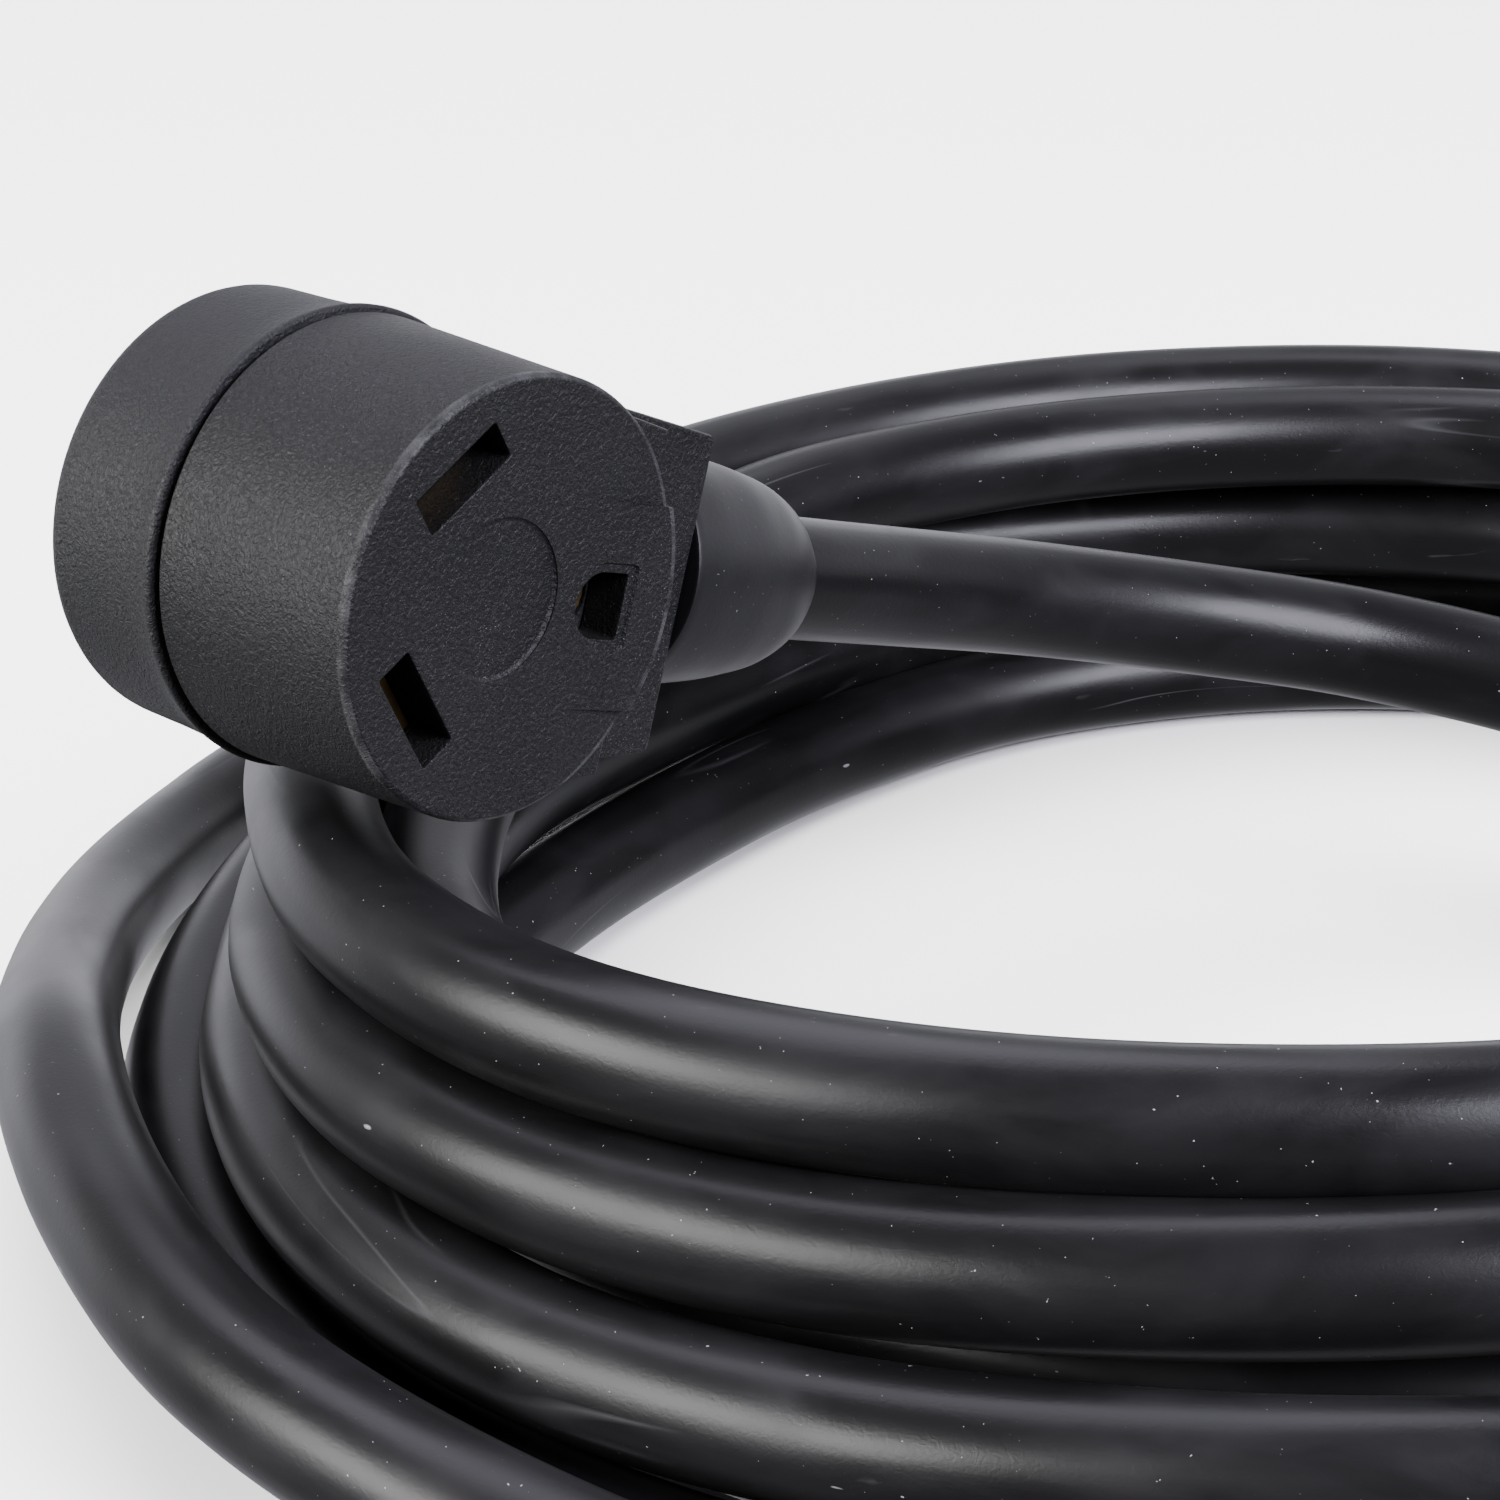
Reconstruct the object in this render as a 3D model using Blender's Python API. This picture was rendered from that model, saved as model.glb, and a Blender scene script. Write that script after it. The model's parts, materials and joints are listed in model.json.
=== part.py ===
"""Shore power cord: a heavy round cord laid down in a loose coil, with a right-angle
female connector resting on top of the coil and the male plug lying beside it.

Metres, +Z up. The coil's centre is the middle of the plan, the floor is z = 0, and the
connector's mating face looks along -Y. Each head (connector or plug) is modelled in its
own frame, whose origin is the middle of the mating face:
    x runs towards the cord, y runs back into the body, z runs up across the face.
"""
import math

import bmesh
import bpy
import numpy as np
from mathutils import Matrix, Vector

MM = 0.001
GAP = 0.3 * MM                    # clearance between pieces that touch

# ---- cord ----
CORD_RADIUS = 8.25 * MM           # 10 AWG three-core cord
CORE_RADIUS = 2.2 * MM            # one insulated core

# ---- coil, a ring with an oval inside and a round outside that leans in ----
COIL_INNER = 130 * MM             # mean inner radius, before the trim
COIL_OVAL = 0.10                  # how much longer the inside is along X than the mean
COIL_TRIM = 3 * MM                # the innermost turn's reach inside that oval
COIL_OUTER = 188 * MM             # outer radius at the floor
COIL_LEAN = 14 * MM               # how much smaller the outer radius is at the top
COIL_HEIGHT = 64 * MM
COIL_CORNER = 13 * MM
COIL_STEPS = 56

# ---- head shells ----
FACE_RADIUS = 26.0 * MM
RIM_RADIUS = 26.5 * MM
RIM_CHAMFER = 0.5 * MM
FRONT_BACK_RADIUS = 27.6 * MM
FRONT_DEPTH = 30.1 * MM           # where the front shell's outside ends
SPIGOT_RADIUS = 25.6 * MM
SPIGOT_END = 33.0 * MM
CAP_START = 31.0 * MM             # the rear cap's lip
LIP_RADIUS = 28.3 * MM
CAP_BACK_RADIUS = 27.2 * MM
HEAD_DEPTH = 51.6 * MM
FACE_THICK = 6.0 * MM
WALL = 3.0 * MM
SHELL_STEPS = 48

# ---- yoke block, which the cord leaves by ----
BLOCK_FRONT = 10.5 * MM
BLOCK_BACK = 37.5 * MM
BLOCK_START = 15 * MM
BLOCK_END = 41 * MM
BLOCK_HALF_START = 23.3 * MM
BLOCK_HALF_END = 20.2 * MM
SHOULDER_FRONT = 3 * MM           # a step that joins the block to the shell's rim
SHOULDER_START = 5 * MM
SHOULDER_END = 23.8 * MM
SHOULDER_HALF_START = 24.2 * MM
SHOULDER_HALF_END = 21.2 * MM
PAD_HALF = 12.5 * MM              # the flat pad around the earth hole
PAD_START = 18 * MM
PAD_BACK = 4 * MM
SLOPE_START = 13 * MM             # the face falls away above and below the pad
SLOPE_END = 30 * MM
SLOPE_DEPTH = 1.1 * MM

# ---- strain relief ----
AXIS_DEPTH = 24 * MM              # the cord's axis behind the mating face
AXIS_RISE = 0.9 * MM              # and above the face's middle
RELIEF_START = 24 * MM            # inner end of its tongue
RELIEF_ROOT = 15.4 * MM
RELIEF_END = 73.0 * MM
TONGUE_RADIUS = 9.6 * MM
GROOVE_RADIUS = 8.0 * MM          # the yoke's rib sits in this groove of the tongue
GROOVE_START = 31 * MM
GROOVE_END = 34 * MM

# ---- contacts: two flat ones in a V, one round earth ----
FLAT_X = -12.4 * MM
FLAT_Z = 13.4 * MM
FLAT_TURN = 45.0
SLOT_LENGTH = 13.9 * MM
SLOT_WIDTH = 4.95 * MM
BLADE_LENGTH = 12.7 * MM
BLADE_THICK = 1.6 * MM
BLADE_REACH = 20 * MM
EARTH_X = 14.7 * MM
EARTH_HOLE = 4.0 * MM             # radius of the D-shaped hole's round side
LEAD_IN = 1.1 * MM                # the recess around that hole
LEAD_IN_DEPTH = 0.3 * MM
PIN_RADIUS = 2.4 * MM
PIN_REACH = 23 * MM
CARRIER_RADIUS = 22.4 * MM
CARRIER_FRONT = 6.3 * MM
CARRIER_BACK = 17 * MM
CONTACT_BACK = 17.8 * MM          # flat contacts and blades stand out behind the carrier
CLIP_LENGTH = 13.0 * MM
CLIP_WIDTH = 4.2 * MM
CLIP_GRIP = 1.9 * MM
SLEEVE_RADIUS = 3.6 * MM
SLEEVE_GRIP = 2.6 * MM
GRIP_END = 15 * MM
BARREL_RADIUS = 2.4 * MM
FLAT_BARREL_END = 22 * MM
EARTH_BARREL_END = 18.8 * MM
DISC_X = -3 * MM                  # a shallow round recess in the middle of the face
DISC_RADIUS = 9.5 * MM
DISC_DEPTH = 0.35 * MM

# ---- cap screws ----
SCREW_CIRCLE = 18 * MM
SCREW_ANGLES = (60.0, 180.0, 300.0)
POST_RADIUS = 3.4 * MM
SHANK_RADIUS = 1.5 * MM
HEAD_RADIUS = 3.0 * MM
SINK_DEPTH = 2 * MM
SCREW_STEP = 0.4 * MM             # the head's top lies this far below the cap's back
PAST = 2 * MM                     # how far a cutter runs past the surface it cuts

# ---- where the two heads lie ----
CONNECTOR_PLACE = Vector((-125.1 * MM, 36.2 * MM, 92.1 * MM))
CONNECTOR_DIP = math.radians(16.7)    # the cord end hangs down from the coil's top
CONNECTOR_PITCH = math.radians(1.7)   # the back stands a little higher than the face
PLUG_PLACE = Vector((241.5 * MM, -79.3 * MM, 28.7 * MM))
PLUG_TURN = math.radians(90)

# Routes of the loose stretches, in the plan of the coil.
NECK_ROUTE = [(-21.0, 61.8, 62.4), (-4.0, 60.0, 57.5), (13.4, 55.3, 52.5), (30.0, 48.0, 48.0),
              (43.0, 38.9, 44.5), (53.1, 27.8, 41.5), (61.5, 14.0, 38.5), (69.0, -6.0, 34.0),
              (73.0, -30.0, 29.0), (72.0, -54.0, 24.5), (66.5, -76.0, 20.5), (56.0, -97.0, 17.0)]
LEAD_ROUTE = [(98.5, 171.5, 8.3), (120.0, 157.5, 8.3), (141.0, 140.5, 8.3), (160.5, 121.0, 8.3),
              (178.0, 99.5, 9.0), (193.0, 76.5, 12.0), (205.5, 53.0, 18.0), (214.0, 30.5, 24.8)]


def clear_scene():
    for old in list(bpy.data.objects):
        bpy.data.objects.remove(old, do_unlink=True)


def make_material(name, colour, roughness, metallic=0.0):
    material = bpy.data.materials.new(name)
    material.use_nodes = True
    shader = material.node_tree.nodes["Principled BSDF"]
    shader.inputs["Base Color"].default_value = (*colour, 1.0)
    shader.inputs["Roughness"].default_value = roughness
    shader.inputs["Metallic"].default_value = metallic
    return material


# ---------------------------------------------------------------- mesh helpers

def bridge(bm, low, high):
    """Side faces between two rings of the same number of vertices."""
    for i in range(len(low)):
        j = (i + 1) % len(low)
        bm.faces.new((low[i], low[j], high[j], high[i]))


def lathe(profile, steps, place):
    """Closed body turned from (radius, height) points; place maps (radius, height, angle)."""
    bm = bmesh.new()
    rings = []
    for radius, height in profile:
        angles = [2 * math.pi * i / steps for i in range(steps)]
        rings.append([bm.verts.new(place(radius, height, a)) for a in angles])
    for low, high in zip(rings, rings[1:]):
        bridge(bm, low, high)
    bm.faces.new(rings[0])
    bm.faces.new(rings[-1])
    bmesh.ops.recalc_face_normals(bm, faces=bm.faces)
    return bm


def about_face(radius, height, angle):
    return (radius * math.cos(angle), height, radius * math.sin(angle))


def about_cord(radius, height, angle):
    return (height, AXIS_DEPTH + radius * math.cos(angle), AXIS_RISE + radius * math.sin(angle))


def prism(outline, low, high, place):
    """Closed body that sweeps a flat outline between two levels."""
    bm = bmesh.new()
    first = [bm.verts.new(place(u, v, low)) for u, v in outline]
    last = [bm.verts.new(place(u, v, high)) for u, v in outline]
    bridge(bm, first, last)
    bm.faces.new(first)
    bm.faces.new(last)
    bmesh.ops.recalc_face_normals(bm, faces=bm.faces)
    return bm


def into_face(u, v, level):
    return (u, level, v)


def across_face(u, v, level):
    return (u, v, level)


def rectangle(x, z, length, width, degrees):
    """Corners of a rectangle centred on (x, z), its length turned by degrees."""
    turn = math.radians(degrees)
    along = Vector((math.cos(turn), math.sin(turn)))
    aside = Vector((-along.y, along.x))
    corners = []
    for a, b in ((-1, -1), (1, -1), (1, 1), (-1, 1)):
        point = Vector((x, z)) + along * (a * length / 2) + aside * (b * width / 2)
        corners.append((point.x, point.y))
    return corners


def d_shape(x, radius, steps=12):
    """Round towards the face's middle, flat towards the rim."""
    points = [(x + radius, -radius), (x + radius, radius)]
    for i in range(steps + 1):
        angle = math.pi / 2 + math.pi * i / steps
        points.append((x + radius * math.cos(angle), radius * math.sin(angle)))
    return points


def disc(x, z, radius, steps):
    return [(x + radius * math.cos(2 * math.pi * i / steps),
             z + radius * math.sin(2 * math.pi * i / steps)) for i in range(steps)]


def joined(*bodies):
    """One bmesh that holds several separate bodies, for cutting in one go."""
    result = bmesh.new()
    for bm in bodies:
        mesh = bpy.data.meshes.new("part")
        bm.to_mesh(mesh)
        bm.free()
        result.from_mesh(mesh)
        bpy.data.meshes.remove(mesh)
    return result


# ---------------------------------------------------------------- object helpers

def place_mesh(name, bm, parent, material=None):
    mesh = bpy.data.meshes.new(name)
    bm.to_mesh(mesh)
    bm.free()
    obj = bpy.data.objects.new(name, mesh)
    bpy.context.collection.objects.link(obj)
    obj.parent = parent
    if material:
        mesh.materials.append(material)
        mesh.shade_smooth()
        mesh.set_sharp_from_angle(angle=math.radians(35))
    return obj


def combine(target, bm, operation, name):
    """Add a Boolean to target with a hidden guide body."""
    guide = place_mesh(name, bm, target.parent)
    guide.hide_render = True
    guide.display_type = 'WIRE'
    boolean = target.modifiers.new(name, 'BOOLEAN')
    boolean.solver = 'EXACT'
    boolean.operation = operation
    boolean.object = guide
    return guide


def smooth_route(points, spacing):
    """Evenly spaced points of a Catmull-Rom curve through the given ones."""
    knots = np.array(points, float)
    knots = np.vstack([2 * knots[0] - knots[1], knots, 2 * knots[-1] - knots[-2]])
    fine = []
    for i in range(1, len(knots) - 2):
        before, start, end, after = knots[i - 1:i + 3]
        for t in np.linspace(0, 1, 24, endpoint=False):
            fine.append(0.5 * (2 * start + (end - before) * t
                               + (2 * before - 5 * start + 4 * end - after) * t ** 2
                               + (3 * start - before - 3 * end + after) * t ** 3))
    fine.append(knots[-2])
    fine = np.array(fine)
    travel = np.concatenate([[0], np.cumsum(np.linalg.norm(np.diff(fine, axis=0), axis=1))])
    stops = np.linspace(0, travel[-1], max(3, round(travel[-1] / spacing)))
    return np.stack([np.interp(stops, travel, fine[:, k]) for k in range(3)], axis=1)


def tube(name, points, radius, parent, material, resolution):
    curve = bpy.data.curves.new(name, 'CURVE')
    curve.dimensions = '3D'
    curve.bevel_depth = radius
    curve.bevel_resolution = resolution
    curve.use_fill_caps = True
    spline = curve.splines.new('POLY')
    spline.points.add(len(points) - 1)
    for point, co in zip(spline.points, points):
        point.co = (*co, 1.0)
    curve.materials.append(material)
    obj = bpy.data.objects.new(name, curve)
    bpy.context.collection.objects.link(obj)
    obj.parent = parent
    return obj


def frame_empty(name, place, dip=0.0, turn=0.0, pitch=0.0):
    empty = bpy.data.objects.new(name, None)
    bpy.context.collection.objects.link(empty)
    empty.matrix_world = (Matrix.Translation(place) @ Matrix.Rotation(turn, 4, 'Z')
                          @ Matrix.Rotation(pitch, 4, 'X') @ Matrix.Rotation(dip, 4, 'Y'))
    return empty


# ---------------------------------------------------------------- head pieces

def block_outline():
    return [(BLOCK_START, -BLOCK_HALF_START), (BLOCK_END, -BLOCK_HALF_END),
            (BLOCK_END, BLOCK_HALF_END), (BLOCK_START, BLOCK_HALF_START)]


def cord_channel():
    """The hole through the yoke, with a rib that sits in the tongue's groove."""
    wide = TONGUE_RADIUS + GAP
    narrow = GROOVE_RADIUS + GAP
    start = GROOVE_START + GAP
    end = GROOVE_END - GAP
    profile = [(wide, 18 * MM), (wide, start), (narrow, start), (narrow, end), (wide, end),
               (wide, BLOCK_END + PAST)]
    return lathe(profile, 32, about_cord)


def face_openings(female):
    """The two slots in a V and the earth hole, as bodies that run through the face."""
    length = SLOT_LENGTH if female else BLADE_LENGTH + 2 * GAP
    width = SLOT_WIDTH if female else BLADE_THICK + 2 * GAP
    outlines = [rectangle(FLAT_X, side * FLAT_Z, length, width, side * FLAT_TURN)
                for side in (1, -1)]
    outlines.append(d_shape(EARTH_X, EARTH_HOLE) if female
                    else disc(EARTH_X, 0, PIN_RADIUS + GAP, 20))
    return joined(*[prism(outline, -PAST, FACE_THICK + PAST, into_face) for outline in outlines])


def front_shell(prefix, parent, material, female):
    profile = [(FACE_RADIUS, 0), (RIM_RADIUS, RIM_CHAMFER), (FRONT_BACK_RADIUS, FRONT_DEPTH),
               (SPIGOT_RADIUS, FRONT_DEPTH), (SPIGOT_RADIUS, SPIGOT_END)]
    shell = place_mesh(prefix + "_front_shell", lathe(profile, SHELL_STEPS, about_face),
                       parent, material)
    block = prism(block_outline(), BLOCK_FRONT, FRONT_DEPTH, into_face)
    combine(shell, block, 'UNION', prefix + "_yoke_front")
    shoulder_outline = [(SHOULDER_START, -SHOULDER_HALF_START), (SHOULDER_END, -SHOULDER_HALF_END),
                        (SHOULDER_END, SHOULDER_HALF_END), (SHOULDER_START, SHOULDER_HALF_START)]
    shoulder = prism(shoulder_outline, SHOULDER_FRONT, BLOCK_FRONT + PAST, into_face)
    combine(shell, shoulder, 'UNION', prefix + "_shoulder")
    edge = RIM_RADIUS + GAP
    half_arc = math.asin(PAD_HALF / edge)
    pad_outline = [(PAD_START, PAD_HALF), (PAD_START, -PAD_HALF)]
    pad_outline += [(edge * math.cos(half_arc * a), edge * math.sin(half_arc * a))
                    for a in np.linspace(-1, 1, 13)]
    combine(shell, prism(pad_outline, -0.05 * MM, PAD_BACK, into_face), 'UNION', prefix + "_pad")
    wedge = [(SLOPE_START, -PAST), (SLOPE_END, -PAST), (SLOPE_END, SLOPE_DEPTH),
             (SLOPE_START, -0.02 * MM)]
    slopes = joined(prism(wedge, PAD_HALF, SLOPE_END, across_face),
                    prism(wedge, -SLOPE_END, -PAD_HALF, across_face))
    combine(shell, slopes, 'DIFFERENCE', prefix + "_face_slopes")
    inside = CARRIER_RADIUS + GAP
    cavity = lathe([(inside, FACE_THICK), (inside, SPIGOT_END + PAST)], SHELL_STEPS, about_face)
    combine(shell, cavity, 'DIFFERENCE', prefix + "_cavity")
    combine(shell, cord_channel(), 'DIFFERENCE', prefix + "_channel_front")
    combine(shell, face_openings(female), 'DIFFERENCE', prefix + "_openings")
    dish = prism(disc(DISC_X, 0, DISC_RADIUS, 32), -PAST, DISC_DEPTH, into_face)
    if female:
        lead_in = d_shape(EARTH_X, EARTH_HOLE + LEAD_IN)
        dish = joined(dish, prism(lead_in, -PAST, LEAD_IN_DEPTH, into_face))
    combine(shell, dish, 'DIFFERENCE', prefix + "_dish")


def screw_places():
    for degrees in SCREW_ANGLES:
        angle = math.radians(degrees)
        yield SCREW_CIRCLE * math.cos(angle), SCREW_CIRCLE * math.sin(angle)


def rear_cap(prefix, parent, material):
    back = HEAD_DEPTH
    round_edge = 3 * MM
    seat = SPIGOT_END + 1.3 * MM
    profile = [(LIP_RADIUS - 0.3 * MM, CAP_START), (LIP_RADIUS, CAP_START + 0.5 * MM),
               (27.9 * MM, 32.5 * MM), (27.5 * MM, 35.5 * MM), (27.3 * MM, 42 * MM)]
    for i in range(5):
        angle = math.pi / 2 * i / 4
        profile.append((CAP_BACK_RADIUS - round_edge * (1 - math.cos(angle)),
                        back - round_edge * (1 - math.sin(angle))))
    cap = place_mesh(prefix + "_rear_cap", lathe(profile, SHELL_STEPS, about_face),
                     parent, material)
    block = prism(block_outline(), CAP_START, BLOCK_BACK, into_face)
    combine(cap, block, 'UNION', prefix + "_yoke_rear")
    rim = SPIGOT_RADIUS + GAP
    inside = CAP_BACK_RADIUS - WALL
    cavity = lathe([(rim, CAP_START - PAST), (rim, seat), (inside, seat), (inside, back - WALL)],
                   SHELL_STEPS, about_face)
    combine(cap, cavity, 'DIFFERENCE', prefix + "_cap_cavity")
    combine(cap, cord_channel(), 'DIFFERENCE', prefix + "_channel_rear")
    posts = joined(*[prism(disc(x, z, POST_RADIUS, 16), CARRIER_BACK + GAP, back - WALL / 2,
                           into_face) for x, z in screw_places()])
    combine(cap, posts, 'UNION', prefix + "_posts")
    holes = joined(*[prism(disc(x, z, SHANK_RADIUS + GAP, 12), CARRIER_BACK - PAST,
                           back + PAST, into_face) for x, z in screw_places()])
    combine(cap, holes, 'DIFFERENCE', prefix + "_screw_holes")
    sinks = joined(*[prism(disc(x, z, HEAD_RADIUS + GAP, 20), back - SINK_DEPTH, back + PAST,
                           into_face) for x, z in screw_places()])
    combine(cap, sinks, 'DIFFERENCE', prefix + "_screw_sinks")


def cap_screw(name, x, z, parent, material):
    top = HEAD_DEPTH - SCREW_STEP
    seat = HEAD_DEPTH - SINK_DEPTH + GAP
    profile = [(1.0 * MM, 10 * MM), (SHANK_RADIUS, 11 * MM), (SHANK_RADIUS, seat),
               (HEAD_RADIUS, seat), (HEAD_RADIUS, top - 0.4 * MM), (HEAD_RADIUS - 0.6 * MM, top)]
    screw = place_mesh(name, lathe(profile, 16, about_face), parent, material)
    screw.location = (x, 0, z)
    for turn in (20, 110):
        recess = prism(rectangle(0, 0, 3.4 * MM, 0.7 * MM, turn), top - 0.9 * MM, top + PAST,
                       into_face)
        guide = combine(screw, recess, 'DIFFERENCE', name + "_recess_" + str(turn))
        guide.location = screw.location


def strain_relief(prefix, parent, material):
    profile = [(TONGUE_RADIUS, RELIEF_START), (TONGUE_RADIUS, GROOVE_START),
               (GROOVE_RADIUS, GROOVE_START), (GROOVE_RADIUS, GROOVE_END),
               (TONGUE_RADIUS, GROOVE_END),
               (TONGUE_RADIUS, BLOCK_END + GAP), (RELIEF_ROOT, BLOCK_END + GAP),
               (15.2 * MM, 47 * MM), (14.8 * MM, 52 * MM), (14.3 * MM, 57 * MM),
               (13.6 * MM, 61.2 * MM), (12.9 * MM, 64.8 * MM), (12.0 * MM, 67.5 * MM),
               (10.9 * MM, 69.8 * MM), (9.7 * MM, 71.4 * MM), (9.0 * MM, 72.3 * MM),
               (8.5 * MM, RELIEF_END)]
    place_mesh(prefix + "_strain_relief", lathe(profile, 40, about_cord), parent, material)


def carrier(prefix, suffix, parent, material, female):
    """The insulating body that holds the contacts against the back of the face."""
    body = place_mesh(prefix + suffix,
                      lathe([(CARRIER_RADIUS, CARRIER_FRONT), (CARRIER_RADIUS, CARRIER_BACK)],
                            SHELL_STEPS, about_face), parent, material)
    pockets = []
    length = (CLIP_LENGTH if female else BLADE_LENGTH) + 2 * GAP
    width = (CLIP_WIDTH if female else BLADE_THICK) + 2 * GAP
    round_pocket = (SLEEVE_RADIUS if female else PIN_RADIUS) + GAP
    back = CARRIER_BACK + PAST
    for side in (1, -1):
        outline = rectangle(FLAT_X, side * FLAT_Z, length, width, side * FLAT_TURN)
        pockets.append(prism(outline, 0, back, into_face))
    pockets.append(prism(disc(EARTH_X, 0, round_pocket, 20), 0, back, into_face))
    combine(body, joined(*pockets), 'DIFFERENCE', prefix + "_pockets")
    holes = joined(*[prism(disc(x, z, SHANK_RADIUS + GAP, 12), 9 * MM, back, into_face)
                     for x, z in screw_places()])
    combine(body, holes, 'DIFFERENCE', prefix + "_carrier_screw_holes")


def barrel(x, z, end):
    return prism(disc(x, z, BARREL_RADIUS, 14), CARRIER_BACK + GAP, end, into_face)


def flat_contact(name, side, parent, material):
    """A sprung clip that grips a flat blade, with a crimp barrel behind."""
    turn = side * FLAT_TURN
    outline = rectangle(FLAT_X, side * FLAT_Z, CLIP_LENGTH, CLIP_WIDTH, turn)
    clip = place_mesh(name, prism(outline, CARRIER_FRONT + GAP, CONTACT_BACK, into_face),
                      parent, material)
    grip = rectangle(FLAT_X, side * FLAT_Z, CLIP_LENGTH + PAST, CLIP_GRIP, turn)
    combine(clip, prism(grip, 0, GRIP_END, into_face), 'DIFFERENCE', name + "_grip")
    combine(clip, barrel(FLAT_X, side * FLAT_Z, FLAT_BARREL_END), 'UNION', name + "_barrel")


def earth_contact(name, parent, material):
    outline = disc(EARTH_X, 0, SLEEVE_RADIUS, 20)
    sleeve = place_mesh(name, prism(outline, CARRIER_FRONT + GAP, CONTACT_BACK, into_face),
                        parent, material)
    grip = prism(disc(EARTH_X, 0, SLEEVE_GRIP, 16), 0, GRIP_END, into_face)
    combine(sleeve, grip, 'DIFFERENCE', name + "_grip")
    combine(sleeve, barrel(EARTH_X, 0, EARTH_BARREL_END), 'UNION', name + "_barrel")


def flat_blade(name, side, parent, material):
    turn = side * FLAT_TURN
    outline = rectangle(FLAT_X, side * FLAT_Z, BLADE_LENGTH, BLADE_THICK, turn)
    blade = place_mesh(name, prism(outline, -BLADE_REACH, CONTACT_BACK, into_face),
                       parent, material)
    combine(blade, barrel(FLAT_X, side * FLAT_Z, FLAT_BARREL_END), 'UNION', name + "_barrel")


def earth_pin(name, parent, material):
    profile = [(0.9 * MM, -PIN_REACH), (1.7 * MM, 0.6 * MM - PIN_REACH),
               (PIN_RADIUS, 2 * MM - PIN_REACH), (PIN_RADIUS, EARTH_BARREL_END)]
    pin = place_mesh(name, lathe(profile, 20, about_face), parent, material)
    pin.location = (EARTH_X, 0, 0)


def cores(prefix, parent, materials):
    """The three insulated cores between the contacts and the strain relief."""
    end_x = RELIEF_START - GAP
    for name, side in (("line", 1), ("neutral", -1)):
        z = side * FLAT_Z
        route = [(FLAT_X, 22.4 * MM, z), (FLAT_X, 24 * MM, z), (-11.3 * MM, 27 * MM, z * 0.97),
                 (-6 * MM, 29.5 * MM, z * 0.83), (4 * MM, 28.5 * MM, z * 0.6),
                 (14 * MM, 25.4 * MM, z * 0.43), (21 * MM, AXIS_DEPTH, z * 0.388),
                 (end_x, AXIS_DEPTH, z * 0.388)]
        tube(prefix + "_" + name + "_core", smooth_route(route, 3.5 * MM), CORE_RADIUS, parent,
             materials[name], 2)
    route = [(EARTH_X, 19.4 * MM, 0), (EARTH_X, 20.4 * MM, 0), (16.2 * MM, 22.9 * MM, 0),
             (19 * MM, 23.9 * MM, 0), (21.5 * MM, AXIS_DEPTH, 0), (end_x, AXIS_DEPTH, 0)]
    tube(prefix + "_earth_core", smooth_route(route, 1.3 * MM), CORE_RADIUS, parent,
         materials["earth"], 2)


def make_head(prefix, parent, female):
    shell_black = make_material(prefix + "_shell", (0.02, 0.02, 0.023), 0.55)
    cap_black = make_material(prefix + "_cap", (0.03, 0.03, 0.034), 0.6)
    relief_grey = make_material(prefix + "_relief", (0.045, 0.045, 0.048), 0.5)
    carrier_grey = make_material(prefix + "_carrier", (0.16, 0.16, 0.17), 0.6)
    brass = make_material(prefix + "_brass", (0.72, 0.52, 0.24), 0.3, 1.0)
    steel = make_material(prefix + "_steel", (0.55, 0.55, 0.56), 0.35, 1.0)
    core_colours = {"line": make_material(prefix + "_line", (0.01, 0.01, 0.01), 0.5),
                    "neutral": make_material(prefix + "_neutral", (0.75, 0.75, 0.73), 0.5),
                    "earth": make_material(prefix + "_earth", (0.02, 0.2, 0.05), 0.5)}
    front_shell(prefix, parent, shell_black, female)
    rear_cap(prefix, parent, cap_black)
    strain_relief(prefix, parent, relief_grey)
    carrier(prefix, "_contact_carrier" if female else "_blade_carrier", parent, carrier_grey,
            female)
    make_flat = flat_contact if female else flat_blade
    kind = "contact" if female else "blade"
    make_flat(prefix + "_line_" + kind, 1, parent, brass)
    make_flat(prefix + "_neutral_" + kind, -1, parent, brass)
    if female:
        earth_contact(prefix + "_earth_contact", parent, brass)
    else:
        earth_pin(prefix + "_earth_pin", parent, brass)
    cores(prefix, parent, core_colours)
    for number, (x, z) in enumerate(screw_places(), start=1):
        cap_screw(prefix + "_cap_screw_" + str(number), x, z, parent, steel)


# ---------------------------------------------------------------- cord

def coil_section(angle):
    """Rounded outline of the ring at this angle, as (radius, height) points."""
    inner = COIL_INNER * (1 + COIL_OVAL * math.cos(2 * angle)) - COIL_TRIM + COIL_CORNER
    outer = COIL_OUTER - COIL_CORNER
    top = COIL_HEIGHT - COIL_CORNER
    corners = [(outer, COIL_CORNER, -90), (outer - COIL_LEAN, top, 0), (inner, top, 90),
               (inner, COIL_CORNER, 180)]
    points = []
    for radius, height, start in corners:
        for i in range(4):
            turn = math.radians(start + 30 * i)
            points.append((radius + COIL_CORNER * math.cos(turn),
                           height + COIL_CORNER * math.sin(turn)))
    return points


def coil_ring(parent, material):
    bm = bmesh.new()
    rings = []
    for i in range(COIL_STEPS):
        angle = 2 * math.pi * i / COIL_STEPS
        rings.append([bm.verts.new((radius * math.cos(angle), radius * math.sin(angle), height))
                      for radius, height in coil_section(angle)])
    for i in range(COIL_STEPS):
        bridge(bm, rings[i], rings[(i + 1) % COIL_STEPS])
    bmesh.ops.recalc_face_normals(bm, faces=bm.faces)
    place_mesh("cord_coil", bm, parent, material)


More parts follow.
